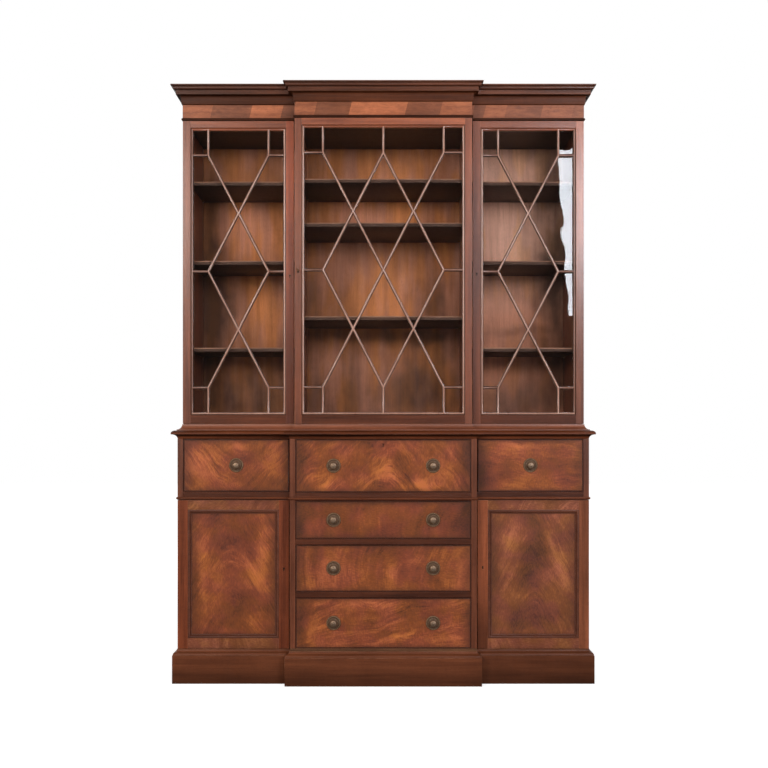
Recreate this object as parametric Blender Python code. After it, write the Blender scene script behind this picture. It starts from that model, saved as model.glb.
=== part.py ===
# Breakfront bookcase: a glazed upper case with three latticed doors stands on a base
# with six drawers and two cupboards, all on a moulded plinth.
# Metres, +Z up. The front faces -Y, and the origin is on the floor under the middle.

import math

import bmesh
import bpy
from mathutils import Vector

# Plan of the base carcass
base_width = 1.470
centre_width = 0.662
wing_depth = 0.380
centre_step = 0.045
upper_setback = 0.016

# Boards
side_thickness = 0.020
partition_thickness = 0.020
back_thickness = 0.010
bottom_board_thickness = 0.016
drawer_rail_thickness = 0.020
mid_rail_height = 0.0295
mid_rail_depth = 0.040
dust_board_thickness = 0.015
case_floor_thickness = 0.022
case_top_thickness = 0.020
shelf_thickness = 0.015
shelf_setback = 0.008

# Clearances
seat = 0.0003
door_back_gap = 0.0005
door_end_gap = 0.001
free_edge_gap = 0.006
drawer_side_gap = 0.001
drawer_top_gap = 0.0015

# Plinth
plinth_projection = 0.017
plinth_face_height = 0.100
plinth_quirk = 0.0015
plinth_mould_height = 0.021
plinth_lip = 0.0015
plinth_wall = 0.020
plinth_rebate = 0.006

# Drawer openings of the centre, from the lowest up; the last also gives the wing drawers
drawer_heights = (0.180, 0.167, 0.135, 0.189)
drawer_front_thickness = 0.020
drawer_wall = 0.011
drawer_bottom = 0.008
drawer_side_drop = 0.014
drawer_back_space = 0.020
drawer_travel = 0.280
cock_bead_width = 0.0035
cock_bead_height = 0.0015

# Half-round band above the cupboards
band_rise = 0.002
band_height = 0.009
band_projection = 0.0045

# Waist moulding round the top of the base, from its underside up
waist_board_thickness = 0.022
waist_bed_height = 0.0155
waist_bed_projection = 0.019
waist_projection = 0.021
waist_edge_height = 0.004
waist_ovolo_height = 0.010
waist_ovolo_depth = 0.015
waist_quirk = 0.003
waist_quirk_height = 0.0035
waist_cove_height = 0.019

# Doors
door_thickness = 0.022
door_arris = 0.001
upper_door_height = 1.086
wing_stile = 0.028
centre_stile = 0.025
upper_top_rail = 0.024
upper_bottom_rail = 0.032
lower_stile = 0.0365
lower_top_rail = 0.034
lower_bottom_rail = 0.0375
panel_mould_width = 0.014
panel_mould_rise = 0.002
panel_mould_fall = 0.006
panel_lip = 0.002
panel_rebate = 0.0085
panel_thickness = 0.006

# Glazing bars, whose bead also runs round the inside of each upper door
bar_width = 0.010
bar_depth = 0.012
bar_sinking = 0.0005
frame_bead_width = 0.010
glass_thickness = 0.003
row_margin = 0.098
wing_column_margin = 0.063
centre_column_margin = 0.0755

# Shelves, as heights of their undersides above the floor of the upper case
wing_shelf_heights = (0.269, 0.583, 0.869)
centre_shelf_heights = (0.379, 0.713, 0.870)

# Cornice, from its underside up
cornice_wall = 0.020
necking_height = 0.009
necking_projection = 0.0045
frieze_height = 0.047
frieze_projection = 0.0005
bed_height = 0.030
bed_foot_height = 0.005
bed_foot_projection = 0.0045
bed_projection = 0.009
soffit_rise = 0.003
corona_projection = 0.022
corona_height = 0.015
crown_foot_projection = 0.025
crown_height = 0.0135
crown_fillet_height = 0.0045
cornice_projection = 0.038

# Brass pulls: a dished rosette plate and a turned knob in one casting
pull_spread = 0.352
pull_radius = 0.0255
pull_length = 0.024
pull_segments = 20

# Outline of half a pull, as shares of its radius and of its length, from the drawer out
pull_radius_shares = (1.0, 1.0, 0.90, 0.78, 0.52, 0.28, 0.24, 0.42, 0.49, 0.40, 0.20)
pull_length_shares = (0.0, 0.07, 0.13, 0.06, 0.07, 0.18, 0.46, 0.66, 0.80, 0.93, 1.0)

# Rounding of a glazing bar, as shares of its half width and of its depth, front to back
bar_width_shares = (0.30, 0.62, 0.88, 1.0, 1.0)
bar_depth_shares = (0.0, 0.08, 0.26, 0.50, 1.0)

# Panel moulding, as shares of its width and of its whole fall, from the frame inwards
panel_mould_width_shares = (0.0, 0.10, 0.30, 0.52, 0.72, 0.90, 1.0)
panel_mould_fall_shares = (0.25, 0.03, 0.0, 0.16, 0.50, 0.84, 1.0)

# Steps in each quarter curve of a moulding
curve_steps = 4

# Colours, as linear RGB, with roughness and metallic value
carcass_wood = ((0.105, 0.033, 0.018), 0.38, 0.0)
veneer_wood = ((0.230, 0.072, 0.030), 0.34, 0.0)
inner_wood = ((0.150, 0.062, 0.030), 0.55, 0.0)
drawer_wood = ((0.210, 0.125, 0.070), 0.60, 0.0)
pane_glass = ((0.800, 0.850, 0.850), 0.04, 0.0)
aged_brass = ((0.200, 0.150, 0.070), 0.42, 1.0)

# Plan, worked out from the sizes above
base_half = base_width / 2
centre_half = centre_width / 2
upper_half = base_half - upper_setback
upper_centre_half = centre_half - upper_setback
front_reach = max(
    waist_projection, plinth_projection, cornice_projection - upper_setback,
    pull_length - cock_bead_height + seat,
)
back_y = (wing_depth + centre_step + front_reach) / 2
wing_y = back_y - wing_depth
centre_y = wing_y - centre_step
upper_wing_y = wing_y + upper_setback
upper_centre_y = centre_y + upper_setback
inner_back_y = back_y - back_thickness - seat
door_recess = door_thickness + door_back_gap

# Levels, worked out from the floor up
plinth_top = plinth_face_height + plinth_mould_height
ledge_z = plinth_top - plinth_rebate
carcass_z = ledge_z + seat
floor_z = carcass_z + bottom_board_thickness
drawer_levels = []
level = floor_z
for opening_height, rail_height in zip(
    drawer_heights, (drawer_rail_thickness, drawer_rail_thickness, mid_rail_height, seat)
):
    drawer_levels.append((level, level + opening_height))
    level += opening_height + rail_height
mid_rail_z = drawer_levels[2][1]
waist_z = level
nose_z = waist_z + waist_bed_height
ovolo_z = nose_z + waist_edge_height
quirk_z = ovolo_z + waist_ovolo_height
cove_z = quirk_z + waist_quirk_height
waist_top = cove_z + waist_cove_height
case_z = waist_z + waist_board_thickness + seat
case_floor_z = case_z + case_floor_thickness
upper_door_z = waist_top + door_end_gap
cornice_z = upper_door_z + upper_door_height + door_end_gap
case_top_z = cornice_z - seat
case_ceiling_z = case_top_z - case_top_thickness
lower_door_z = plinth_top + door_end_gap


def quarter(start, end, upright_first):
    """Points after start along a quarter of an ellipse, up to and with end."""
    points = []
    for step in range(1, curve_steps + 1):
        angle = math.pi / 2 * step / curve_steps
        early, late = math.sin(angle), 1 - math.cos(angle)
        across, up = (late, early) if upright_first else (early, late)
        points.append((start[0] + (end[0] - start[0]) * across, start[1] + (end[1] - start[1]) * up))
    return points


def halfway(start, end):
    return ((start[0] + end[0]) / 2, (start[1] + end[1]) / 2)


def join(body, row, following):
    """Quads between two closed rows of vertices."""
    for here, there in zip(range(len(row)), list(range(1, len(row))) + [0]):
        body.faces.new((row[here], row[there], following[there], following[here]))


def ring(loops):
    """A frame: each loop of points is joined to the next, and the last to the first."""
    body = bmesh.new()
    rows = [[body.verts.new(point) for point in loop] for loop in loops]
    for row, following in zip(rows, rows[1:] + rows[:1]):
        join(body, row, following)
    return body


def stack(loops):
    """A solid: each loop of points is joined to the next, and the end loops are closed."""
    body = bmesh.new()
    rows = [[body.verts.new(point) for point in loop] for loop in loops]
    for row, following in zip(rows, rows[1:]):
        join(body, row, following)
    body.faces.new(rows[0])
    body.faces.new(rows[-1])
    return body


def block(x0, x1, y0, y1, z0, z1):
    plan = ((x0, y0), (x1, y0), (x1, y1), (x0, y1))
    return stack([[(x, y, z) for x, y in plan] for z in (z0, z1)])


def prism_up(plan, z0, z1):
    return stack([[(x, y, z) for x, y in plan] for z in (z0, z1)])


def prism_across(side, x0, x1):
    """A side outline of (y, z) points, drawn out from x0 to x1."""
    return stack([[(x, y, z) for y, z in side] for x in (x0, x1)])


def finish(name, body, finish_values, pivot=(0, 0, 0), parent=None, smooth=False):
    """Makes the object, with its origin at pivot, and its own material."""
    bmesh.ops.recalc_face_normals(body, faces=body.faces)
    bmesh.ops.translate(body, verts=body.verts, vec=-Vector(pivot))
    mesh = bpy.data.meshes.new(name)
    body.to_mesh(mesh)
    body.free()
    if smooth:
        mesh.shade_smooth()
        mesh.set_sharp_from_angle(angle=math.radians(40))
    item = bpy.data.objects.new(name, mesh)
    bpy.context.collection.objects.link(item)
    item.location = pivot
    if parent:
        item.parent = parent
        item.location = Vector(pivot) - parent.location
    colour, roughness, metallic = finish_values
    material = bpy.data.materials.new(name)
    material.use_nodes = True
    shader = material.node_tree.nodes["Principled BSDF"]
    shader.inputs["Base Color"].default_value = (*colour, 1)
    shader.inputs["Roughness"].default_value = roughness
    shader.inputs["Metallic"].default_value = metallic
    mesh.materials.append(material)
    return item


def motion_frame(name, place):
    """An empty on a joint's axis, which carries the pieces that move about it."""
    frame = bpy.data.objects.new(name, None)
    bpy.context.collection.objects.link(frame)
    frame.location = place
    return frame


def cut(item, cutter):
    """Takes the cutter's shape out of the item."""
    cutter.hide_render = True
    cutter.display_type = "WIRE"
    modifier = item.modifiers.new("cut", "BOOLEAN")
    modifier.operation = "DIFFERENCE"
    modifier.solver = "EXACT"
    modifier.object = cutter


def breakfront(half, centre, wing_front, centre_front, offset):
    """The stepped plan, grown outwards by offset on every side."""
    return (
        (-half - offset, back_y + offset),
        (-half - offset, wing_front - offset),
        (-centre - offset, wing_front - offset),
        (-centre - offset, centre_front - offset),
        (centre + offset, centre_front - offset),
        (centre + offset, wing_front - offset),
        (half + offset, wing_front - offset),
        (half + offset, back_y + offset),
    )


def base_loop(point):
    plan = breakfront(base_half, centre_half, wing_y, centre_y, point[0])
    return [(x, y, point[1]) for x, y in plan]


def upper_loop(point):
    plan = breakfront(upper_half, upper_centre_half, upper_wing_y, upper_centre_y, point[0])
    return [(x, y, point[1]) for x, y in plan]


def flatten_back(body):
    """Cuts a moulded body off at the plane of the back, and closes it there."""
    everything = body.verts[:] + body.edges[:] + body.faces[:]
    bmesh.ops.bisect_plane(
        body, geom=everything, plane_co=(0, back_y, 0), plane_no=(0, 1, 0), clear_outer=True
    )
    bmesh.ops.holes_fill(body, edges=[edge for edge in body.edges if edge.is_boundary])
    return body


def stepped_board(half, centre, wing_front, centre_front, z0, z1):
    """A board that fills the case between its sides and in front of its back."""
    plan = (
        (-half, inner_back_y),
        (-half, wing_front),
        (-centre, wing_front),
        (-centre, centre_front),
        (centre, centre_front),
        (centre, wing_front),
        (half, wing_front),
        (half, inner_back_y),
    )
    return prism_up(plan, z0, z1)


# Clear the scene
for item in list(bpy.data.objects):
    bpy.data.objects.remove(item, do_unlink=True)

# Plinth: a frame with a moulded top, rebated for the carcass
mould_foot = (plinth_projection - plinth_quirk, plinth_face_height)
mould_head = (seat + plinth_lip, plinth_top)
mould_middle = halfway(mould_foot, mould_head)
plinth_section = [
    (-plinth_wall, 0),
    (plinth_projection, 0),
    (plinth_projection, plinth_face_height),
    mould_foot,
]
plinth_section += quarter(mould_foot, mould_middle, True)
plinth_section += quarter(mould_middle, mould_head, False)
plinth_section += [(seat, plinth_top), (seat, ledge_z), (-plinth_wall, ledge_z)]
plinth = flatten_back(ring([base_loop(point) for point in plinth_section]))
finish("plinth", plinth, carcass_wood)

# Base carcass
base_inner = base_half - side_thickness
partition_inner = centre_half - partition_thickness
finish(
    "base_bottom_board",
    stepped_board(
        base_inner - seat, centre_half, wing_y + door_recess, centre_y, carcass_z, floor_z
    ),
    inner_wood,
)
finish(
    "base_back",
    block(
        -base_inner + seat, base_inner - seat, inner_back_y + seat, back_y, carcass_z, waist_z - seat
    ),
    inner_wood,
)
base_side_outline = (
    (back_y, carcass_z),
    (wing_y + door_recess, carcass_z),
    (wing_y + door_recess, mid_rail_z),
    (wing_y, mid_rail_z),
    (wing_y, waist_z - seat),
    (back_y, waist_z - seat),
)
wing_rail_outline = (
    (wing_y, mid_rail_z),
    (wing_y + mid_rail_depth, mid_rail_z),
    (wing_y + mid_rail_depth, mid_rail_z + mid_rail_height - dust_board_thickness),
    (inner_back_y, mid_rail_z + mid_rail_height - dust_board_thickness),
    (inner_back_y, mid_rail_z + mid_rail_height),
    (wing_y, mid_rail_z + mid_rail_height),
)
for side, hand in (("left", -1), ("right", 1)):
    finish(
        f"base_side_{side}",
        prism_across(base_side_outline, hand * base_inner, hand * base_half),
        carcass_wood,
    )
    finish(
        f"base_partition_{side}",
        block(
            hand * partition_inner, hand * centre_half, centre_y, inner_back_y,
            floor_z + seat, waist_z - seat,
        ),
        carcass_wood,
    )
    finish(
        f"wing_mid_rail_{side}",
        prism_across(
            wing_rail_outline, hand * (centre_half + seat), hand * (base_inner - seat)
        ),
        carcass_wood,
    )

# Rails with dust boards between the centre drawers
centre_rail_outline = [(y - centre_step if y == wing_y else y, z) for y, z in wing_rail_outline]
centre_rail_outline[1] = (centre_y + mid_rail_depth, mid_rail_z)
centre_rail_outline[2] = (centre_y + mid_rail_depth, centre_rail_outline[2][1])
rail_reach = partition_inner - seat
finish(
    "centre_mid_rail",
    prism_across(centre_rail_outline, -rail_reach, rail_reach),
    carcass_wood,
)
for name, below in (("centre_rail_lower", 0), ("centre_rail_upper", 1)):
    finish(
        name,
        block(
            -rail_reach, rail_reach, centre_y, inner_back_y,
            drawer_levels[below][1], drawer_levels[below + 1][0],
        ),
        carcass_wood,
    )

# Half-round band above the cupboards
band_z = mid_rail_z + band_rise
band_middle = (band_projection, band_z + band_height / 2)
band_section = [(seat, band_z)]
band_section += quarter((seat, band_z), band_middle, False)
band_section += quarter(band_middle, (seat, band_z + band_height), True)
finish("mid_band", flatten_back(ring([base_loop(point) for point in band_section])), carcass_wood)

# Top of the base with its moulded edge, sunk for the foot of the upper case
bed_tip = (waist_bed_projection, nose_z)
ovolo_head = (waist_projection - waist_ovolo_depth, quirk_z)
cove_foot = (ovolo_head[0] - waist_quirk, cove_z)
cove_head = (-upper_setback + seat + plinth_lip, waist_top)
waist_section = [(0, waist_z)]
waist_section += quarter((0, waist_z), bed_tip, True)
waist_section += [(waist_projection, nose_z), (waist_projection, ovolo_z)]
waist_section += quarter((waist_projection, ovolo_z), ovolo_head, True)
waist_section += [(cove_foot[0], quirk_z), cove_foot]
waist_section += quarter(cove_foot, cove_head, False)
base_top = finish(
    "base_top", flatten_back(stack([base_loop(point) for point in waist_section])), carcass_wood
)
recess_plan = breakfront(upper_half, upper_centre_half, upper_wing_y, upper_centre_y, seat)
recess_overrun = waist_cove_height
recess_plan = [(x, y + recess_overrun if y > back_y else y) for x, y in recess_plan]
recess = finish(
    "foot_recess",
    prism_up(recess_plan, waist_z + waist_board_thickness, waist_top + recess_overrun),
    carcass_wood,
)
cut(base_top, recess)

# Upper case
upper_inner = upper_half - side_thickness
upper_partition_inner = upper_centre_half - partition_thickness
case_wing_y = upper_wing_y + door_recess
case_centre_y = upper_centre_y + door_recess
finish(
    "upper_bottom_board",
    stepped_board(
        upper_inner - seat, upper_centre_half, upper_wing_y, upper_centre_y, case_z, case_floor_z
    ),
    inner_wood,
)
finish(
    "upper_top_board",
    stepped_board(
        upper_inner - seat, upper_centre_half, case_wing_y, case_centre_y,
        case_ceiling_z, case_top_z,
    ),
    inner_wood,
)
finish(
    "upper_back",
    block(-upper_inner + seat, upper_inner - seat, inner_back_y + seat, back_y, case_z, case_top_z),
    inner_wood,
)
for side, hand in (("left", -1), ("right", 1)):
    finish(
        f"upper_side_{side}",
        block(
            hand * upper_inner, hand * upper_half, case_wing_y, back_y, case_z, case_top_z
        ),
        carcass_wood,
    )
    finish(
        f"upper_partition_{side}",
        block(
            hand * upper_partition_inner, hand * upper_centre_half, case_centre_y, inner_back_y,
            case_floor_z + seat, case_ceiling_z - seat,
        ),
        carcass_wood,
    )

# Shelves
wing_bay = (upper_centre_half + seat, upper_inner - seat)
centre_bay = (-upper_partition_inner + seat, upper_partition_inner - seat)
bays = (
    ("left", (-wing_bay[1], -wing_bay[0]), case_wing_y, wing_shelf_heights),
    ("centre", centre_bay, case_centre_y, centre_shelf_heights),
    ("right", wing_bay, case_wing_y, wing_shelf_heights),
)
for bay, reach, front, heights in bays:
    for number, height in enumerate(heights, 1):
        under = case_floor_z + height
        finish(
            f"shelf_{bay}_{number}",
            block(
                reach[0], reach[1], front + shelf_setback, inner_back_y, under,
                under + shelf_thickness,
            ),
            inner_wood,
        )

# Cornice: necking bead, frieze, bed mould, corona and crown, as a frame
frieze_z = cornice_z + necking_height
bed_z = frieze_z + frieze_height
soffit_z = bed_z + bed_height
corona_z = soffit_z + soffit_rise
crown_z = corona_z + corona_height
crown_top = crown_z + crown_height
total_height = crown_top + crown_fillet_height
necking_middle = (necking_projection, cornice_z + necking_height / 2)
bed_foot = (bed_foot_projection, bed_z + bed_foot_height)
crown_foot = (crown_foot_projection, crown_z)
crown_head = (cornice_projection, crown_top)
crown_middle = halfway(crown_foot, crown_head)
cornice_section = [(-cornice_wall, cornice_z), (frieze_projection, cornice_z)]
cornice_section += quarter((frieze_projection, cornice_z), necking_middle, False)
cornice_section += quarter(necking_middle, (frieze_projection, frieze_z), True)
cornice_section += [(frieze_projection, bed_z)]
cornice_section += quarter((frieze_projection, bed_z), bed_foot, False)
cornice_section += quarter(bed_foot, (bed_projection, soffit_z), True)
cornice_section += [(corona_projection, corona_z), (corona_projection, crown_z)]
cornice_section += [crown_foot]
cornice_section += quarter(crown_foot, crown_middle, False)
cornice_section += quarter(crown_middle, crown_head, True)
cornice_section += [(cornice_projection, total_height), (-cornice_wall, total_height)]
finish(
    "cornice", flatten_back(ring([upper_loop(point) for point in cornice_section])), carcass_wood
)


def rectangle(bounds, inset, depth):
    """A loop set in from (x0, z0, x1, z1) by inset, at the given y."""
    x0, z0, x1, z1 = bounds
    return [
        (x0 + inset, depth, z0 + inset),
        (x1 - inset, depth, z0 + inset),
        (x1 - inset, depth, z1 - inset),
        (x0 + inset, depth, z1 - inset),
    ]


def set_in_polygon(corners, insets):
    """Moves side i of an anticlockwise outline inwards by insets[i]."""
    count = len(corners)
    lines = []
    for i in range(count):
        start, end = Vector(corners[i]), Vector(corners[(i + 1) % count])
        along = (end - start).normalized()
        lines.append((start + Vector((-along.y, along.x)) * insets[i], along))
    moved = []
    for i in range(count):
        (before, before_way), (after, after_way) = lines[i - 1], lines[i]
        share = (after - before).cross(after_way) / before_way.cross(after_way)
        moved.append(before + before_way * share)
    return moved


def lattice_panes(bounds, columns, rows):
    """Outlines between the bar centres: crossed bars fill each cell of the grid, and
    short bars tie its edge to the frame."""
    left, low, right, high = bounds

    def cross(i, j):
        return halfway((columns[i], rows[j]), (columns[i + 1], rows[j + 1]))

    last_column, last_row = len(columns) - 1, len(rows) - 1
    panes = []
    for x0, x1 in ((left, columns[0]), (columns[-1], right)):
        for z0, z1 in ((low, rows[0]), (rows[-1], high)):
            panes.append([(x0, z0), (x1, z0), (x1, z1), (x0, z1)])
    for j in range(last_row):
        z0, z1 = rows[j], rows[j + 1]
        first, final = columns[0], columns[-1]
        panes.append([(left, z0), (first, z0), cross(0, j), (first, z1), (left, z1)])
        panes.append(
            [(final, z0), (right, z0), (right, z1), (final, z1), cross(last_column - 1, j)]
        )
        for i in range(1, last_column):
            panes.append([(columns[i], z0), cross(i, j), (columns[i], z1), cross(i - 1, j)])
    for i in range(last_column):
        x0, x1 = columns[i], columns[i + 1]
        first, final = rows[0], rows[-1]
        panes.append([(x0, low), (x1, low), (x1, first), cross(i, 0), (x0, first)])
        panes.append([(x0, final), cross(i, last_row - 1), (x1, final), (x1, high), (x0, high)])
        for j in range(1, last_row):
            panes.append([(x0, rows[j]), cross(i, j - 1), (x1, rows[j]), cross(i, j)])
    return panes


def lattice(bounds, columns, rows, front):
    """The glazing bars and the bead round them, as one plate with rounded openings."""
    left, low, right, high = bounds
    body = bmesh.new()
    edges = ([], [])
    outer = [
        [body.verts.new(point) for point in rectangle(bounds, 0, depth)]
        for depth in (front, front + bar_depth)
    ]
    join(body, outer[0], outer[1])
    faces_rows = [[outer[0]], [outer[1]]]
    for pane in lattice_panes(bounds, columns, rows):
        on_frame = []
        for start, end in zip(pane, pane[1:] + pane[:1]):
            upright = start[0] == end[0] and start[0] in (left, right)
            level_side = start[1] == end[1] and start[1] in (low, high)
            on_frame.append(upright or level_side)
        wall = []
        for width_share, depth_share in zip(bar_width_shares, bar_depth_shares):
            bar = bar_width / 2 * width_share
            bead = frame_bead_width - bar_width / 2 + bar
            corners = set_in_polygon(pane, [bead if held else bar for held in on_frame])
            depth = front + bar_depth * depth_share
            wall.append([body.verts.new((x, depth, z)) for x, z in corners])
        for row, following in zip(wall, wall[1:]):
            join(body, row, following)
        faces_rows[0].append(wall[0])
        faces_rows[1].append(wall[-1])
    for rows_of_verts, face_edges in zip(faces_rows, edges):
        for row in rows_of_verts:
            for here, there in zip(row, row[1:] + row[:1]):
                edge = body.edges.get((here, there)) or body.edges.new((here, there))
                face_edges.append(edge)
        bmesh.ops.triangle_fill(body, use_beauty=True, use_dissolve=False, edges=face_edges)
    return body


def upper_door(name, x0, x1, front, stile, column_margin, column_count, hinge_x):
    """A glazed door between x0 and x1, hung on an upright axis at hinge_x."""
    z0, z1 = upper_door_z, upper_door_z + upper_door_height
    back = front + door_thickness
    frame = motion_frame(f"{name}_hinge", (hinge_x, back, z0))
    pivot = (hinge_x, back, z0)
    outer = (x0, z0, x1, z1)
    opening = (x0 + stile, z0 + upper_bottom_rail, x1 - stile, z1 - upper_top_rail)
    loops = [
        rectangle(outer, 0, back),
        rectangle(outer, 0, front + door_arris),
        rectangle(outer, door_arris, front),
        rectangle(opening, 0, front),
        rectangle(opening, 0, back),
    ]
    finish(f"{name}_frame", ring(loops), carcass_wood, pivot, frame)
    bounds = (opening[0] + seat, opening[1] + seat, opening[2] - seat, opening[3] - seat)
    margin_x, margin_z = column_margin - seat, row_margin - seat
    first, final = bounds[0] + margin_x, bounds[2] - margin_x
    columns = [first + (final - first) * i / (column_count - 1) for i in range(column_count)]
    low, high = bounds[1] + margin_z, bounds[3] - margin_z
    rows = [low, (low + high) / 2, high]
    bar_front = front + bar_sinking
    bars = lattice(bounds, columns, rows, bar_front)
    finish(f"{name}_glazing_bars", bars, carcass_wood, pivot, frame)
    glass_y = bar_front + bar_depth + seat
    pane = block(bounds[0], bounds[2], glass_y, glass_y + glass_thickness, bounds[1], bounds[3])
    finish(f"{name}_glass", pane, pane_glass, pivot, frame)


def lower_door(name, x0, x1, hinge_x):
    """A panelled cupboard door, hung on an upright axis at hinge_x."""
    z0, z1 = lower_door_z, mid_rail_z - door_end_gap
    front, back = wing_y, wing_y + door_thickness
    frame = motion_frame(f"{name}_hinge", (hinge_x, back, z0))
    pivot = (hinge_x, back, z0)
    outer = (x0, z0, x1, z1)
    opening = (
        x0 + lower_stile, z0 + lower_bottom_rail, x1 - lower_stile, z1 - lower_top_rail,
    )
    loops = [
        rectangle(outer, 0, back),
        rectangle(outer, 0, front + door_arris),
        rectangle(outer, door_arris, front),
        rectangle(opening, 0, front),
    ]
    whole_fall = panel_mould_rise + panel_mould_fall
    for width_share, fall_share in zip(panel_mould_width_shares[1:], panel_mould_fall_shares[1:]):
        depth = front - panel_mould_rise + whole_fall * fall_share
        loops.append(rectangle(opening, panel_mould_width * width_share, depth))
    lip_back = front + panel_mould_fall + panel_lip
    rebate = panel_mould_width - panel_rebate
    loops += [
        rectangle(opening, panel_mould_width, lip_back),
        rectangle(opening, rebate, lip_back),
        rectangle(opening, rebate, back),
    ]
    finish(f"{name}_frame", ring(loops), carcass_wood, pivot, frame)
    edge = rebate + seat
    panel = stack(
        [
            rectangle(opening, edge, lip_back + seat),
            rectangle(opening, edge, lip_back + seat + panel_thickness),
        ]
    )
    finish(f"{name}_panel", panel, veneer_wood, pivot, frame)


# Doors: the wings hang on their outer edges, the centre on its right edge
wing_inner = upper_centre_half + free_edge_gap
upper_door(
    "upper_door_left", -upper_half, -wing_inner, upper_wing_y, wing_stile,
    wing_column_margin, 2, -upper_half,
)
upper_door(
    "upper_door_centre", -upper_centre_half, upper_centre_half, upper_centre_y, centre_stile,
    centre_column_margin, 3, upper_centre_half,
)
upper_door(
    "upper_door_right", wing_inner, upper_half, upper_wing_y, wing_stile,
    wing_column_margin, 2, upper_half,
)
lower_inner = centre_half + free_edge_gap
lower_door("lower_door_left", -base_half, -lower_inner, -base_half)
lower_door("lower_door_right", lower_inner, base_half, base_half)


def drawer(name, x0, x1, z0, opening_top, front, pull_places):
    """A drawer with a cock-beaded front and an open box behind, and its pulls."""
    z1 = opening_top - drawer_top_gap
    low = z0 + seat
    rim = z1 - drawer_side_drop
    slab = front + drawer_front_thickness
    end = inner_back_y - drawer_back_space
    middle = ((x0 + x1) / 2, front, low)
    frame = motion_frame(f"{name}_slide", middle)
    body = bmesh.new()

    def corner(x, y, z):
        return body.verts.new((x, y, z))

    # Front slab and box, outside
    front_low = [corner(x, front, low) for x in (x0, x1)]
    front_high = [corner(x, front, z1) for x in (x0, x1)]
    slab_high = [corner(x, slab, z1) for x in (x0, x1)]
    slab_rim = [corner(x, slab, rim) for x in (x0, x1)]
    end_rim = [corner(x, end, rim) for x in (x0, x1)]
    end_low = [corner(x, end, low) for x in (x0, x1)]
    # Inside of the box
    inner = (x0 + drawer_wall, x1 - drawer_wall)
    inner_end, inner_low = end - drawer_wall, low + drawer_bottom
    well_front_rim = [corner(x, slab, rim) for x in inner]
    well_front_low = [corner(x, slab, inner_low) for x in inner]
    well_end_rim = [corner(x, inner_end, rim) for x in inner]
    well_end_low = [corner(x, inner_end, inner_low) for x in inner]

    face = body.faces.new((front_low[0], front_low[1], front_high[1], front_high[0]))
    body.faces.new((front_high[0], front_high[1], slab_high[1], slab_high[0]))
    body.faces.new(
        (
            slab_high[0], slab_high[1], slab_rim[1], well_front_rim[1],
            well_front_low[1], well_front_low[0], well_front_rim[0], slab_rim[0],
        )
    )
    body.faces.new(
        (
            slab_rim[0], well_front_rim[0], well_end_rim[0], well_end_rim[1],
            well_front_rim[1], slab_rim[1], end_rim[1], end_rim[0],
        )
    )
    body.faces.new((end_rim[0], end_rim[1], end_low[1], end_low[0]))
    body.faces.new((front_low[0], front_low[1], end_low[1], end_low[0]))
    for i in (0, 1):
        body.faces.new(
            (front_low[i], front_high[i], slab_high[i], slab_rim[i], end_rim[i], end_low[i])
        )
        body.faces.new((well_front_rim[i], well_front_low[i], well_end_low[i], well_end_rim[i]))
    body.faces.new((well_end_rim[0], well_end_rim[1], well_end_low[1], well_end_low[0]))
    body.faces.new((well_front_low[0], well_front_low[1], well_end_low[1], well_end_low[0]))
    bmesh.ops.recalc_face_normals(body, faces=body.faces)
    bmesh.ops.inset_individual(body, faces=[face], thickness=cock_bead_width)
    bmesh.ops.inset_individual(
        body, faces=[face], thickness=cock_bead_height / 2, depth=-cock_bead_height
    )
    finish(name, body, veneer_wood, middle, frame)

    # Pulls, seated on the sunk face of the front
    pull_back = front + cock_bead_height - seat
    for pull_name, pull_x in pull_places:
        centre = (pull_x, pull_back, (z0 + opening_top) / 2)
        loops = []
        for radius_share, length_share in zip(pull_radius_shares, pull_length_shares):
            radius, out = pull_radius * radius_share, pull_length * length_share
            turns = [2 * math.pi * n / pull_segments for n in range(pull_segments)]
            loops.append(
                [
                    (
                        centre[0] + radius * math.cos(turn),
                        pull_back - out,
                        centre[2] + radius * math.sin(turn),
                    )
                    for turn in turns
                ]
            )
        finish(pull_name, stack(loops), aged_brass, centre, frame, True)


# Drawers: one in each wing, four in the centre
wing_drawer = (centre_half + free_edge_gap, base_inner - drawer_side_gap)
top_low, top_high = drawer_levels[3]
for side, hand in (("left", -1), ("right", 1)):
    reach = sorted((hand * wing_drawer[0], hand * wing_drawer[1]))
    drawer(
        f"wing_drawer_{side}", reach[0], reach[1], top_low, top_high, wing_y,
        ((f"pull_wing_{side}", (reach[0] + reach[1]) / 2),),
    )
centre_reach = partition_inner - drawer_side_gap
for number, (low, high) in enumerate(reversed(drawer_levels), 1):
    pulls = (
        (f"pull_centre_{number}_left", -pull_spread / 2),
        (f"pull_centre_{number}_right", pull_spread / 2),
    )
    drawer(f"centre_drawer_{number}", -centre_reach, centre_reach, low, high, centre_y, pulls)
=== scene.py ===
# %% [markdown]
# A mahogany breakfront bookcase: a glazed upper case with latticed doors on a base with
# six drawers and two cupboards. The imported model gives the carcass, and this file dresses
# it: it turns the plain solids into mouldings, astragals, veneers and brass.
# Everything is in metres, the front faces -Y, and the origin is on the floor.

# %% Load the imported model
import math

import bmesh
import bpy
from mathutils import Matrix, Vector


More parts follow.
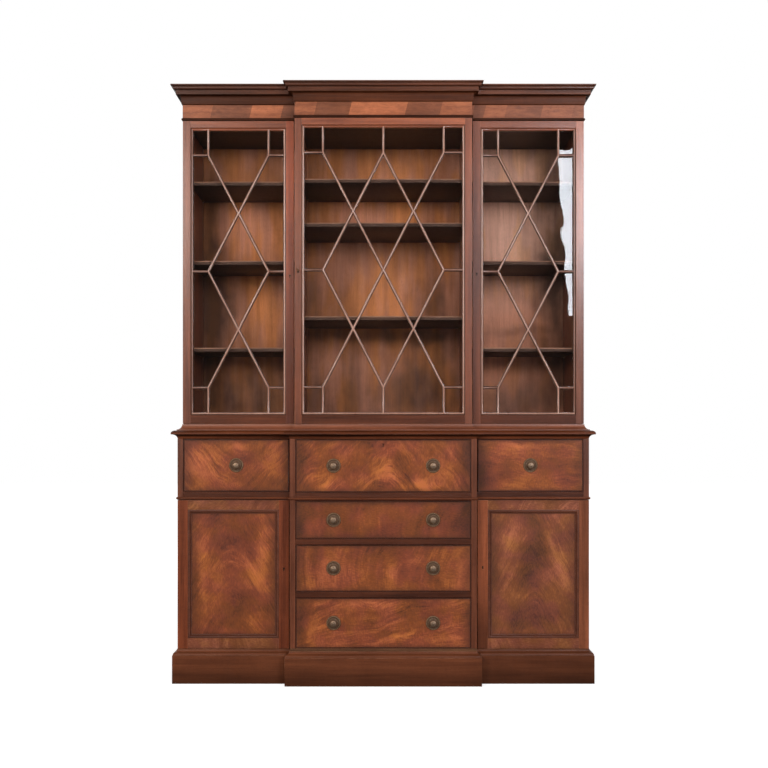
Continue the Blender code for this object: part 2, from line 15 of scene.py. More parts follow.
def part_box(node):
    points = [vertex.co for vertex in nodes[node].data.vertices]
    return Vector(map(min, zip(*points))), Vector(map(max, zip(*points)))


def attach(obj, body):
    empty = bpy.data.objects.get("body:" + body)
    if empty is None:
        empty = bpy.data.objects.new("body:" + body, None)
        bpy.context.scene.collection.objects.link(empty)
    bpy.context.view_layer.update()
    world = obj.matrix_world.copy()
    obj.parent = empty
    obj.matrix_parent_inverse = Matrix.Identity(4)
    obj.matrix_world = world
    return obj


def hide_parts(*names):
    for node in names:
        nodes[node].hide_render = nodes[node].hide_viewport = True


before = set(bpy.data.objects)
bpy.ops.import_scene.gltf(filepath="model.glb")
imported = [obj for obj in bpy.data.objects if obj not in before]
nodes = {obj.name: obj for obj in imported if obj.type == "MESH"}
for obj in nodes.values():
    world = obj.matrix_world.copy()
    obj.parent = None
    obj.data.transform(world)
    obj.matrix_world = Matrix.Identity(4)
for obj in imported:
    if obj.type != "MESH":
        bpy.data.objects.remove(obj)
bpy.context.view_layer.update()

# %% [markdown]
# A piece that is placed by numbers of its own can drift away from the carcass. The planes
# and corners that the new pieces need are therefore read off the solids themselves, and
# only the small sizes of a moulding or a bead are written out below.

# %% Planes and levels of the carcass
def low(node):
    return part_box(node)[0]


def high(node):
    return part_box(node)[1]


def middle_of(box):
    return (box[0] + box[1]) / 2


back_y = high("base_back").y
wing_y, centre_y = low("base_side_left").y, low("base_partition_left").y
upper_wing_y, upper_centre_y = (low(f"upper_door_{side}_frame").y for side in ("left", "centre"))
base_half, centre_half = high("base_side_right").x, high("base_partition_right").x
upper_half, upper_centre_half = high("upper_side_right").x, high("upper_partition_right").x
base_plan = (base_half, centre_half, wing_y, centre_y)
upper_plan = (upper_half, upper_centre_half, upper_wing_y, upper_centre_y)
total_height = high("cornice").z
sides = (("left", -1), ("right", 1))
print("front planes", [round(y, 4) for y in (wing_y, centre_y, upper_wing_y, upper_centre_y)])

# %% [markdown]
# The picture is taken square on, from about 4.2 m in front of the mouldings and at the
# height of the waist. The upright lines stay parallel because the camera is level, and the
# lens is shifted a little instead of tilted, as an architect's lens is.

# %% Camera
def new_object(name, data):
    item = bpy.data.objects.new(name, data)
    bpy.context.collection.objects.link(item)
    return item


camera = new_object("camera", bpy.data.cameras.new("camera"))
camera.data.lens = 55.4
camera.data.shift_y = 0.0534
camera.location = (0.0025, -4.378, 0.921)
camera.rotation_euler = (math.radians(90), 0, 0)
scene = bpy.context.scene
scene.camera = camera
scene.view_settings.view_transform = "Standard"
print("camera at", tuple(round(c, 3) for c in camera.location), "lens", camera.data.lens)

# %% [markdown]
# Node trees are easier to read when they are written as sums. A Value is a node's result,
# and arithmetic on it adds Math nodes. One call adds a node and fills its inputs: a Value is
# linked, anything else is written in. The tree is the one that the linked values are in.

# %% Helpers for node trees
class Value:
    """A node's result; sums, differences and products with it are Math nodes."""

    def __init__(self, socket):
        self.socket = socket

    def __add__(self, other):
        return calc("ADD", self, other)

    def __sub__(self, other):
        return calc("SUBTRACT", self, other)

    def __rsub__(self, other):
        return calc("SUBTRACT", other, self)

    def __mul__(self, other):
        return calc("MULTIPLY", self, other)

    def clamp(self, lowest=0.0, highest=1.0):
        return calc("MINIMUM", calc("MAXIMUM", self, lowest), highest)


class Results:
    """A node's outputs, each read by its name or number as a Value."""

    def __init__(self, node):
        self.node = node

    def __getitem__(self, key):
        return Value(self.node.outputs[key])


def fill(node, inputs):
    """Links the inputs that get a Value, and writes numbers, vectors and colours in."""
    for key, value in inputs.items():
        socket = node.inputs[key]
        if isinstance(value, Value):
            node.id_data.links.new(value.socket, socket)
        elif socket.type == "RGBA":
            socket.default_value = (*value, 1.0)
        else:
            socket.default_value = value


def add(kind, inputs=(), tree=None, **settings):
    """Adds a node to a tree, or to the tree that its inputs come from."""
    inputs = dict(inputs)
    tree = tree or next(value.socket.id_data for value in inputs.values()
                        if isinstance(value, Value))
    node = tree.nodes.new("ShaderNode" + kind)
    for key, value in settings.items():
        setattr(node, key, value)
    fill(node, inputs)
    return Results(node)


def calc(operation, *values):
    return add("Math", enumerate(values), operation=operation)[0]


print("node values ready")

# %% [markdown]
# The nodes that the finishes use again and again get short names. The size of a noise is
# given in metres here, because a size on the real board says more than a scale.

# %% Nodes with short names
def vector_calc(operation, *values):
    return add("VectorMath", enumerate(values), operation=operation)[0]


def length(vector):
    return add("VectorMath", {0: vector}, operation="LENGTH")["Value"]


def part(vector, axis):
    return add("SeparateXYZ", {0: vector})[axis]


def facing(tree, axis):
    """How far a face looks along an axis, from -1 to 1."""
    return part(add("NewGeometry", tree=tree)["True Normal"], axis)


def noise(vector, size, detail=2.0, roughness=0.5, distortion=0.0):
    """A noise whose patches have a size in metres, the same or one for each axis."""
    size = size if isinstance(size, tuple) else (size,) * 3
    stretched = vector_calc("MULTIPLY", vector, tuple(1 / share for share in size))
    return add("TexNoise", {
        "Vector": stretched, "Scale": 1.0, "Detail": detail, "Roughness": roughness,
        "Distortion": distortion,
    })["Fac"]


def remap(*values, kind="LINEAR"):
    """A value between two levels, mapped to 0 and 1 or to two levels given after them."""
    return add("MapRange", enumerate(values), interpolation_type=kind)[0]


def smooth(*values):
    return remap(*values, kind="SMOOTHSTEP")


def mix(factor, first, second, blend="MIX"):
    """A mix of two colours."""
    values = {"Factor": factor, 6: first, 7: second}
    return add("Mix", values, data_type="RGBA", blend_type=blend)[2]


def tint(colour, by):
    """A colour times another colour or times a value."""
    return mix(1.0, colour, by, "MULTIPLY")


def bump(height, strength, distance):
    return add("Bump", {"Height": height, "Strength": strength, "Distance": distance})[0]


print("short names ready")

# %% [markdown]
# A node group is a function made of nodes: it is built once, and many materials use it. Each
# material starts from the Principled shader and the object's own coordinates, which stay on
# the wood when a door opens.

# %% Groups and materials
socket_kinds = {"v": "NodeSocketVector", "f": "NodeSocketFloat", "c": "NodeSocketColor"}


def new_group(name, **inputs):
    """A node group with named inputs; returns its tree and the values that come in."""
    tree = bpy.data.node_groups.new(name, "ShaderNodeTree")
    for label, kind in inputs.items():
        tree.interface.new_socket(label, in_out="INPUT", socket_type=socket_kinds[kind])
    return tree, Results(tree.nodes.new("NodeGroupInput"))


def end_group(tree, **results):
    """Puts out what a group made; Colour is a colour and the rest are values."""
    for label in results:
        kind = socket_kinds["c" if label == "Colour" else "f"]
        tree.interface.new_socket(label, in_out="OUTPUT", socket_type=kind)
    fill(tree.nodes.new("NodeGroupOutput"), results)
    print(tree.name, "has", len(tree.nodes), "nodes")


def use(group, **inputs):
    return add("Group", inputs, node_tree=group)


def new_material(name):
    """A material; returns it with its shader and its place on the object."""
    material = bpy.data.materials.new(name)
    material.use_nodes = True
    tree = material.node_tree
    return material, tree.nodes["Principled BSDF"], add("TexCoord", tree=tree)["Object"]


print("group helpers ready")

# %% [markdown]
# The room is a white studio: a white backdrop behind the case, and two softboxes high up to
# the left and the right, which draw a light line down every upright bar and twin spots on
# every knob. The left one is a little warm and the right one a little cool. A third lamp
# behind the camera reaches the backs of the shelves, and a fourth one lights the back of the
# case. The camera sees the backdrop at full white, while the light that falls on the wood
# comes from lamps at a plain level, so that a colour renders about as it is written.

# %% Backdrop and lamps
world = bpy.data.worlds.new("studio")
world.use_nodes = True
scene.world = world
world.node_tree.nodes.clear()
path = add("LightPath", tree=world.node_tree)
heading = add("TexCoord", tree=world.node_tree)["Generated"]
behind = smooth(part(heading, "Y"), -0.1, 0.35, 0.0, 1.0)
sharp = calc("MAXIMUM", path["Is Glossy Ray"], path["Is Transmission Ray"])
seen = calc("MAXIMUM", path["Is Camera Ray"], sharp * behind)
room_light = mix(seen, mix(sharp, (0.13,) * 3, (0.03,) * 3), (1.0,) * 3)
background = add("Background", {"Color": room_light, "Strength": 1.0})
add("OutputWorld", {"Surface": background[0]})


def softbox(name, place, aim, width, height, power):
    lamp = bpy.data.lights.new(name, "AREA")
    lamp.shape = "RECTANGLE"
    lamp.size, lamp.size_y, lamp.energy = width, height, power
    item = new_object(name, lamp)
    item.location = place
    item.rotation_euler = (Vector(aim) - Vector(place)).to_track_quat("-Z", "Y").to_euler()
    return item


for side, hand in sides:
    box = softbox(f"softbox_{side}", (2.1 * hand - 0.12, -4.1, 2.3), (0, 0, 1.2), 1.5, 1.2, 74)
    box.data.color = (1.04, 1.00, 0.95) if hand < 0 else (0.96, 1.00, 1.08)
for name, distance, power in (("front_fill", -5.6, 100), ("rear_fill", 4.8, 60)):
    lamp = softbox(name, (0, distance, 2.05), (0, 0, 1.1), 2.6, 1.0, power)
    lamp.visible_glossy = lamp.visible_transmission = False
print("white studio with", len(bpy.data.lights), "lamps")

# %% [markdown]
# The floor is a sheet of white paper. It takes the shadow of the case, and glows more and
# more towards its rim, so that it melts into the backdrop as a studio's paper roll does.

# %% Floor
def to_mesh(name, body):
    mesh = bpy.data.meshes.new(name)
    body.to_mesh(mesh)
    body.free()
    return mesh


sheet = bmesh.new()
bmesh.ops.create_grid(sheet, x_segments=1, y_segments=1, size=14)
floor = new_object("floor", to_mesh("floor", sheet))
paper, shader, here = new_material("floor_paper")
path = add("LightPath", tree=paper.node_tree)
seen = calc("MAXIMUM", path["Is Camera Ray"], path["Is Transmission Ray"])
fill(shader, {
    "Base Color": mix(path["Is Glossy Ray"], (0.55,) * 3, (0.12,) * 3), "Roughness": 0.9,
    "Emission Color": mix(seen, (0.0,) * 3, smooth(length(here), 1.0, 5.0, 0.80, 1.0)),
    "Emission Strength": 1.0,
})
floor.data.materials.append(paper)
print("floor with", len(floor.data.polygons), "face")

# %% [markdown]
# Mahogany is a reddish brown wood with broad bands, finer streaks, a faint ripple across
# them and short dark pores along the grain. One node group makes all four from noises that
# are stretched along Z, so a board only has to turn its coordinates until its grain runs
# that way. A photograph of wood would repeat and blur; noise in metres has neither fault.

# %% Node group: straight grain
grain, start = new_group("straight_grain", Vector="v", Seed="f", Dark="c", Light="c",
                         Contrast="f", Wave="f")
spot = vector_calc("ADD", start["Vector"], start["Seed"])
sway = (noise(spot, (0.16, 0.16, 0.55)) - 0.5) * start["Wave"]
spot = vector_calc("ADD", spot, add("CombineXYZ", {0: sway, 1: sway})[0])
broad = noise(spot, (0.022, 0.022, 0.42), 2.0, 0.55)
streak = noise(spot, (0.0042, 0.0042, 0.15), 3.0, 0.6)
fine = noise(spot, (0.0009, 0.0009, 0.035))
ripple = noise(spot, (0.035, 0.035, 0.011), 1.0)
pores = remap(noise(spot, (0.00042, 0.00042, 0.0055), 0.0), 0.64, 0.74)
tone = broad * 0.55 + streak * 0.28 + fine * 0.10 + ripple * 0.07 - 0.5
colour = mix((tone * start["Contrast"] + 0.5).clamp(), start["Dark"], start["Light"])
colour = mix(pores * 0.45, colour, (0.012, 0.005, 0.003))
end_group(grain, Colour=colour, Height=fine * 0.3 - pores * 0.7)

# %% [markdown]
# The drawer fronts and cupboard panels are veneered with wood from the crotch of the tree,
# whose fibres fan out like a flame. Its plumes lie on lines that fall away on both sides of
# a spine. The group therefore measures height plus a share of the distance from the spine,
# bends that field with slow noise, and draws streaks along it. The streaks are strong in
# some places and die out in others, and the wood drifts between orange and red.

# %% Node group: flame figure
flame, start = new_group("flame_figure", Vector="v", Seed="f", Steepness="f", Softness="f",
                         Bend="f", Figure="f", Clouds="f", Dark="c", Middle="c", Light="c")


def bend_by(spot, scale, amount):
    """An offset that varies slowly over the surface."""
    values = {"Vector": spot, "Scale": scale, "Detail": 2.0, "Roughness": 0.5}
    centred = vector_calc("SUBTRACT", add("TexNoise", values)["Color"], (0.5,) * 3)
    return add("VectorMath", {0: centred, "Scale": amount}, operation="SCALE")[0]


flat = vector_calc("MULTIPLY", start["Vector"], (1.0, 0.0, 1.0))
spot = vector_calc("ADD", flat, add("CombineXYZ", {1: start["Seed"]})[0])
bent = vector_calc("ADD", flat, bend_by(spot, 6.0, start["Bend"]))
bent = vector_calc("ADD", bent, bend_by(spot, 22.0, 0.012))
across, softness = part(bent, "X"), start["Softness"]
away = calc("SQRT", across * across + softness * softness)
field = away * start["Steepness"] + part(bent, "Z")
plume_spot = add("CombineXYZ", {0: field, 1: start["Seed"], 2: across})[0]
plumes = noise(plume_spot, (0.021, 1.0, 0.20), 3.0, 0.58)
strands = noise(plume_spot, (0.0065, 1.0, 0.075), 3.0, 0.6)
hairs = noise(plume_spot, (0.0019, 1.0, 0.022))
clouds = noise(spot, (0.10, 1.0, 0.085), 3.0)
flecks = noise(spot, (0.0042, 1.0, 0.0100), 2.0, 0.6)
places = noise(vector_calc("ADD", spot, (3.1, 0.7, 1.9)), (0.075, 1.0, 0.06), 1.0)
places = smooth(places, 0.36, 0.60, 0.30, 1.25)
streaks = (plumes - 0.5) * 0.85 + (strands - 0.5) * 0.60 + (hairs - 0.5) * 0.60
lively = (start["Clouds"] * 1.6 + 1.0).clamp(0.3, 1.5) * start["Figure"]
tone = streaks * places * lively + (clouds - 0.5) * 0.85 + (flecks - 0.5) * 0.62
tone = (tone + start["Clouds"] + 0.5).clamp()
colour = mix(remap(tone, 0.0, 0.5), start["Dark"], start["Middle"])
colour = mix(remap(tone, 0.5, 1.0), colour, start["Light"])
drift = noise(vector_calc("ADD", spot, (7.7, 0.2, 4.3)), (0.08, 1.0, 0.07), 3.0)
drift = mix(smooth(drift, 0.36, 0.64), (0.99, 1.03, 0.80), (1.01, 0.94, 1.12))
end_group(flame, Colour=tint(colour, drift), Height=hairs)

# %% [markdown]
# A cabinet maker chooses each leaf for where its light and its shadow fall. One more group
# adds a soft patch, lighter or darker, at a place on the front. Its rim is bent by noise, so
# that it never reads as an ellipse.

# %% Node group: soft patch
patch, start = new_group("soft_patch", Vector="v", Place="v", Turn="v", Size="v",
                         Strength="f", Before="f")
bent = vector_calc("ADD", start["Vector"], bend_by(start["Vector"], 11.0, 0.075))
local = add("Mapping", {
    "Vector": vector_calc("MULTIPLY", bent, (1.0, 0.0, 1.0)), "Location": start["Place"],
    "Rotation": start["Turn"], "Scale": start["Size"],
}, vector_type="TEXTURE")[0]
reach = smooth(length(local), 1.25, 0.15) * 1.45
end_group(patch, Sum=reach * start["Strength"] + start["Before"])


def add_patches(centred, patches):
    """The sum of patches: (x, z, half width, half height, turn in degrees, strength)."""
    total = 0.0
    for x, z, width, height, angle, share in patches:
        total = use(patch, Vector=centred, Place=(x, 0, z), Turn=(0, math.radians(-angle), 0),
                    Size=(width, 1, height), Strength=share, Before=total)["Sum"]
    return total


# %% [markdown]
# Two hundred years of hands, dusters and wax leave the arrises pale and matt. The hollows
# are made nearly black, partly grime and partly painted shade in the recesses. Each new
# piece carries two values on its points, arris and hollow, that the rounding of its edges
# fills in. One group turns them into wear and painted shade, and adds the slow clouds that
# old polish has.

# %% Node group: old polish
polish, start = new_group("old_polish", Vector="v", Colour="c", Arris="f", Hollow="f",
                          Wear="f", Sheen="f")
rubbed = smooth(noise(start["Vector"], 0.05, 4.0, 0.6), 0.36, 0.62)
rubbed = start["Arris"] * start["Wear"] * rubbed
# painted shade and grime: the hollows darken towards nearly black
dirt_and_shade = start["Hollow"] * 0.9
pale = mix(0.55, start["Colour"], (0.52, 0.26, 0.15))
colour = mix(dirt_and_shade, mix(rubbed, start["Colour"], pale), (0.016, 0.008, 0.005))
haze = remap(noise(start["Vector"], 0.19, 3.0, 0.55), 0.3, 0.7, 0.86, 1.10)
smears = noise(start["Vector"], (0.012, 0.012, 0.05), 3.0, 0.6)
rough = (smears - 0.5) * 0.22 + start["Sheen"] + rubbed * 0.15 + dirt_and_shade * 0.3
end_group(polish, Colour=tint(colour, haze), Roughness=rough.clamp())

# %% [markdown]
# Grain always runs along a board, because wood is strong that way. A finish therefore turns
# its coordinates until the grain's Z lies along the board's length: level, from front to
# back, or upright. The grain's colour then goes through old polish to the shader.

# %% Polished grain
turns = {"x": (0, math.radians(-90), 0), "y": (math.radians(90), 0, 0), "z": (0, 0, 0)}


def turned(here, run):
    return add("Mapping", {"Vector": here, "Rotation": turns[run]})[0]


def marks(tree):
    """The wear that is written on the points of a piece."""
    return {kind: add("Attribute", tree=tree, attribute_name=kind.lower())["Fac"]
            for kind in ("Arris", "Hollow")}


def finish_wood(shader, here, colour, height, wear=0.8, sheen=0.34, relief=0.0002):
    """Joins a grain to the shader through old polish, and returns the polished colour."""
    finished = use(polish, Vector=here, Colour=colour, Wear=wear, Sheen=sheen,
                   **marks(shader.id_data))
    fill(shader, {"Base Color": finished["Colour"], "Roughness": finished["Roughness"],
                  "Normal": bump(height, 0.35, relief)})
    return finished["Colour"]


print("grain runs along", ", ".join(turns))

# %% [markdown]
# Every straight wood is the same recipe with its own values: a grain, old polish, a little
# relief from the pores and a thin coat of varnish. A share of its colour changes with the
# height, with the place along the front, or with the way a face looks: on faces that look
# down or turn away from the front it is painted shade, and upwards on the glazed doors it
# is painted light.

# %% Straight wood
def straight_wood(name, run, dark, light, seed, contrast=2.6, wave=0.012, wear=0.8,
                  sheen=0.36, coat=0.0, gloss=0.5, bloom=None, upward_ramp=None, along=None,
                  underside_shade=None, side_shade=None, lipping=None):
    """Wood with its grain along an axis, or along the run of a moulding.

    bloom is a coat of varnish that thickens upwards between two levels, as (low, high,
    weight), and fade changes the colour upwards in the same way, to a factor at the top; on
    the glazed doors it is painted light. along is (x0, x1, share0, share1): how much of the
    colour is left on the left and on the right. under is what is left of it on faces that
    look down, a painted shade, flank on faces that turn away from the front, also a painted
    shade, and lipping on the front edge, where a board has a strip of darker wood.
    """
    material, shader, here = new_material(name)
    tree = material.node_tree
    if run == "moulding":
        sideways = calc("GREATER_THAN", *(calc("ABSOLUTE", facing(tree, axis)) for axis in "XY"))
        spot = add("Mix", {"Factor": sideways, 4: turned(here, "x"), 5: turned(here, "y")},
                   data_type="VECTOR")[1]
    else:
        spot = turned(here, run)
    figure = use(grain, Vector=spot, Seed=seed, Dark=dark, Light=light, Contrast=contrast,
                 Wave=wave)
    colour = finish_wood(shader, here, figure["Colour"], figure["Height"], wear, sheen, 0.0003)
    if bloom:
        coat = smooth(part(here, "Z"), bloom[0], bloom[1], 0.0, bloom[2])
    if upward_ramp:
        colour = tint(colour, smooth(part(here, "Z"), upward_ramp[0], upward_ramp[1], 1.0, upward_ramp[2]))
    if along:
        colour = tint(colour, smooth(part(here, "X"), *along))
    if underside_shade:
        colour = tint(colour, remap(facing(tree, "Z"), -0.9, -0.3, underside_shade, 1.0))
    if side_shade:
        colour = tint(colour, remap(facing(tree, "Y"), -0.97, -0.55, 1.0, side_shade))
    if lipping:
        colour = tint(colour, remap(facing(tree, "Y"), -0.9, -0.5, lipping, 1.0))
    fill(shader, {"Base Color": colour, "Specular IOR Level": gloss, "Coat Weight": coat,
                  "Coat Roughness": 0.23 if bloom else 0.16})
    return material


print("straight wood ready")

# %% [markdown]
# The back of the upper case is what the glass shows most of. Its grain is plain and soft,
# and its colour drifts from brown in one place to pink in another. Soft patches paint light
# and shade on it: shade along the case's ends, down the corners of the bays, below the
# shelves and at the foot of the wings, and light in the middle of the bays and most of all
# in the right bay, whose upper part is painted lighter and greyer still. The face that
# stands to the wall has stayed raw and even.

# %% Back of the upper case
back_wood, shader, here = new_material("mahogany_back")
figure = use(grain, Vector=here, Seed=15.4, Dark=(0.230, 0.083, 0.040),
             Light=(0.520, 0.215, 0.120), Contrast=1.7, Wave=0.03)
centred = vector_calc("SUBTRACT", here, tuple(middle_of(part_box("upper_back"))))
# painted light and shade: each patch is a pool of light or the shadow of a shelf or a wall
shade = add_patches(centred, (
    (-0.68, 0.0, 0.10, 0.80, 0, -0.45), (-0.65, -0.07, 0.13, 0.14, 0, -0.22),
    (-0.52, 0.20, 0.14, 0.16, 0, 0.60), (-0.46, -0.08, 0.11, 0.14, 0, 0.34),
    (-0.52, -0.43, 0.22, 0.13, 0, -0.40), (0.43, 0.18, 0.18, 0.64, 0, 0.60),
    (0.44, 0.45, 0.16, 0.10, 0, 0.70), (0.52, -0.43, 0.20, 0.10, 0, -0.34),
    (0.44, -0.19, 0.16, 0.08, 0, -0.28), (0.44, -0.35, 0.12, 0.05, 0, 0.20),
    (0.52, -0.165, 0.14, 0.03, 0, -0.28), (0.0, -0.185, 0.30, 0.04, 0, -0.36),
    (0.68, 0.0, 0.10, 0.80, 0, -0.50), (0.19, -0.06, 0.06, 0.36, 4, -0.30),
    (-0.04, -0.02, 0.16, 0.17, 0, 0.18), (0.15, -0.40, 0.09, 0.12, 0, -0.25),
    (0.0, -0.42, 0.40, 0.15, 0, -0.32), (-0.28, 0.0, 0.06, 0.60, 0, -0.26),
    (0.30, 0.0, 0.05, 0.60, 0, -0.26), (0.06, -0.10, 0.05, 0.14, 0, 0.20),
    (0.0, 0.30, 0.32, 0.14, 0, 0.36),
))
clouds = noise(centred, (0.10, 1.0, 0.22), 3.0, 0.55)
shade = ((clouds - 0.5) * 1.3 + shade + 1.0).clamp(0.22, 1.7)
pink = remap(part(centred, "X"), 0.25, 0.40)
drift = noise(vector_calc("ADD", centred, (5.3, 0.2, 1.4)), (0.07, 1.0, 0.30), 3.0)
drift = (smooth(drift, 0.38, 0.62) + pink * 0.6).clamp()
drift = mix(drift, (1.10, 0.94, 0.55), (1.06, 1.04, 1.10))
# painted light: the upper part of the right bay is made lighter and greyer
right_bay_painted_light = mix(pink * smooth(part(here, "Z"), 1.25, 1.60), (1.0,) * 3, (1.10, 1.45, 1.78))
tone_light_and_shade = tint(tint(tint(figure["Colour"], shade), drift), right_bay_painted_light)
raw = tint(figure["Colour"], (0.76, 0.76, 0.62))
tone_light_and_shade = mix(remap(facing(back_wood.node_tree, "Y"), 0.4, 0.6), tone_light_and_shade, raw)
finish_wood(shader, here, tone_light_and_shade, figure["Height"], sheen=0.5, relief=0.0003)
fill(shader, {"Specular IOR Level": 0.25})
print("back of the case with", len(back_wood.node_tree.nodes), "nodes")

# %% [markdown]
# A figured front is one leaf of veneer, so each front gets a material with its own place,
# turn and steepness of the flame. The front gets darker towards its ends, by a soft ramp on
# the distance from the rim, and a narrow band along the cock bead or panel moulding is
# darker still, a painted shade.

# %% Figured veneers
flame_tones = ((0.072, 0.023, 0.013), (0.234, 0.059, 0.021), (0.500, 0.142, 0.042))
rim_dark_colour = (0.050, 0.020, 0.011)


def figured_wood(name, box, seed, spine=(0, 0), turn=0.0, steepness=1.5, softness=0.03,
                 bend=0.08, strength=1.0, patches=(), tones=flame_tones, ends=0.50):
    """Veneer on a front between two corners; spine is where the flame's axis lies.

    The patches are measured from the middle of the front, and the tones are dark, middle and
    light. ends is how much darker the front gets towards its ends, and it also sets the
    painted shade along the rim.
    """
    material, shader, here = new_material(name)
    half = (box[1] - box[0]) / 2
    centred = vector_calc("SUBTRACT", here, tuple(middle_of(box)))
    spot = vector_calc("SUBTRACT", centred, (spine[0], 0, spine[1]))
    spot = add("Mapping", {"Vector": spot, "Rotation": (0, math.radians(turn), 0)})[0]
    figure = use(flame, Vector=spot, Seed=seed, Steepness=steepness, Softness=softness,
                 Bend=bend, Figure=strength, Clouds=add_patches(centred, patches),
                 Dark=tones[0], Middle=tones[1], Light=tones[2])
    colour = finish_wood(shader, here, figure["Colour"], figure["Height"])
    from_end = half.x - calc("ABSOLUTE", part(centred, "X"))
    from_edge = half.z - calc("ABSOLUTE", part(centred, "Z"))
    soft_rim = calc("MAXIMUM", smooth(from_end, 0.055, 0.0), smooth(from_edge, 0.022, 0.0))
    # painted shade: a narrow dark band right against the cock bead or panel moulding
    bead_shade = smooth(calc("MINIMUM", from_end, from_edge), 0.011, 0.003)
    rim = calc("MAXIMUM", soft_rim * ends, bead_shade * min(1.0, ends * 1.3))
    fill(shader, {"Base Color": mix(rim, colour, rim_dark_colour), "Specular IOR Level": 0.35})
    return material


print("figured veneers ready")

# %% [markdown]
# The brass is old: brown where air has dulled it, brighter on the crests that fingers touch
# and almost black in the hollows. It is one metal with a patina in its colour and its
# roughness. On the pulls the hollows are also a painted shade and the knob's crest a painted
# highlight.

# %% Metals and glass
patina, start = new_group("patina", Vector="v", Bright="c", Dull="c", Arris="f", Hollow="f")
dulled = smooth(noise(start["Vector"], 0.006, 4.0, 0.65), 0.22, 0.52)
dulled = (dulled - start["Arris"]).clamp()
colour = mix(dulled, start["Bright"], start["Dull"])
colour = mix(start["Hollow"] * 0.85, colour, (0.058, 0.026, 0.013))
crust = calc("MAXIMUM", dulled * 0.55, start["Hollow"])
end_group(patina, Colour=colour, Roughness=dulled * 0.10 + 0.47, Metal=1.0 - crust)


def metal(name, bright, dull):
    material, shader, here = new_material(name)
    made = use(patina, Vector=here, Bright=bright, Dull=dull, **marks(material.node_tree))
    fill(shader, {"Base Color": made["Colour"], "Roughness": made["Roughness"],
                  "Metallic": made["Metal"], "Normal": bump(noise(here, 0.0012), 0.25, 0.0002)})
    return material


brass = metal("aged_brass", (0.38, 0.255, 0.172), (0.21, 0.112, 0.052))
# nearly black: dark with age, and a painted shade of the keyhole
dark_brass = metal("keyhole_brass", (0.070, 0.040, 0.020), (0.022, 0.012, 0.006))

glass, shader, here = new_material("window_glass")
tree = glass.node_tree
fill(shader, {
    "Base Color": (0.97, 0.985, 0.975), "Roughness": 0.0, "IOR": 1.45, "Transmission Weight": 1.0,
    "Normal": bump(noise(here, (0.09, 0.09, 0.14), 1.0), 0.2, 0.0015),
})
path = add("LightPath", tree=tree)
passing = calc("MAXIMUM", path["Is Shadow Ray"], path["Is Diffuse Ray"])
clear = add("BsdfTransparent", tree=tree)
both = add("MixShader", {0: passing, 1: Value(shader.outputs[0]), 2: clear[0]})
fill(tree.nodes["Material Output"], {"Surface": both[0]})
print(len(bpy.data.materials), "materials so far")

# %% [markdown]
# Every new piece goes through the same two steps. soften rounds the sharp edges with a real
# bevel, because no maker leaves an arris that cuts, and marks the crests and hollows for
# the wear and the painted shade. piece then makes the object, sets smooth shading with sharp
# corners, and says which body it moves with, which solids it stands for and where its finish
# comes from.

# %% Helpers for pieces
def mark_layers(body):
    """The arris and hollow values of a body's points."""
    layers = body.verts.layers.float
    return [layers.get(kind) or layers.new(kind) for kind in ("arris", "hollow")]


def soften(body, width, corner=28.0):
    """Rounds the edges that turn by more than corner degrees, and marks them."""
    arris, hollow = mark_layers(body)
    sharp = [edge for edge in body.edges
             if len(edge.link_faces) == 2 and edge.calc_face_angle(0) > math.radians(corner)]
    made = bmesh.ops.bevel(
        body, geom=sharp, offset=width, offset_type="OFFSET", segments=2, profile=0.5,
        affect="EDGES", clamp_overlap=True, material=-1,
    )
    rounded = set(made["faces"])
    body.normal_update()
    for vert in {vert for face in rounded for vert in face.verts}:
        if all(face in rounded for face in vert.link_faces):
            bend = sum(edge.calc_face_angle_signed(0) for edge in vert.link_edges)
            vert[arris] = 1.0 if bend > 0.3 else 0.0
            vert[hollow] = 1.0 if bend < -0.3 else 0.0
    return body


def piece(name, body, mover, materials, stands_for=(), choose=None):
    """Makes an object of a bmesh that rides on a body; choose gives a face's material."""
    bmesh.ops.remove_doubles(body, verts=body.verts, dist=1e-7)
    bmesh.ops.recalc_face_normals(body, faces=body.faces)
    if choose:
        for face in body.faces:
            face.material_index = choose(face)
    item = new_object(name, to_mesh(name, body))
    item.data.shade_smooth()
    item.data.set_sharp_from_angle(angle=math.radians(38))
    for material in materials if isinstance(materials, list) else [materials]:
        item.data.materials.append(material)
    item.modifiers.new("weighted", "WEIGHTED_NORMAL").keep_sharp = True
    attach(item, mover)
    if stands_for:
        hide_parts(*stands_for)
    return item


print("piece helpers ready")

# %% [markdown]
# A moulding is one section that runs along a path. Its rounds and hollows are quarters of
# ellipses, so trace only needs the points where they meet. sweep carries the section along
# the path, one extrusion for each of its points, which leaves a mitre at every corner and a
# closed shape without any fitting.

# %% Sections
def quarter(start, end, upright_first, steps=9):
    """Points after start along a quarter of an ellipse, up to and with end."""
    points = []
    for step in range(1, steps + 1):
        angle = math.pi / 2 * step / steps
        early, late = math.sin(angle), 1 - math.cos(angle)
        across, up = (late, early) if upright_first else (early, late)
        points.append((start[0] + (end[0] - start[0]) * across,
                       start[1] + (end[1] - start[1]) * up))
    return points


def trace(*steps):
    """A section through points; (point, upright_first, steps) goes there by a quarter."""
    points = []
    for step in steps:
        points += quarter(points[-1], *step) if isinstance(step[0], tuple) else [step]
    return points


def halfway(first, second):
    return ((first[0] + second[0]) / 2, (first[1] + second[1]) / 2)


print("a quarter has", len(quarter((0, 0), (1, 1), True)), "points")

# %% Sweeps
def new_points(made):
    """The points that an extrusion made."""
    return [element for element in made["geom"] if isinstance(element, bmesh.types.BMVert)]


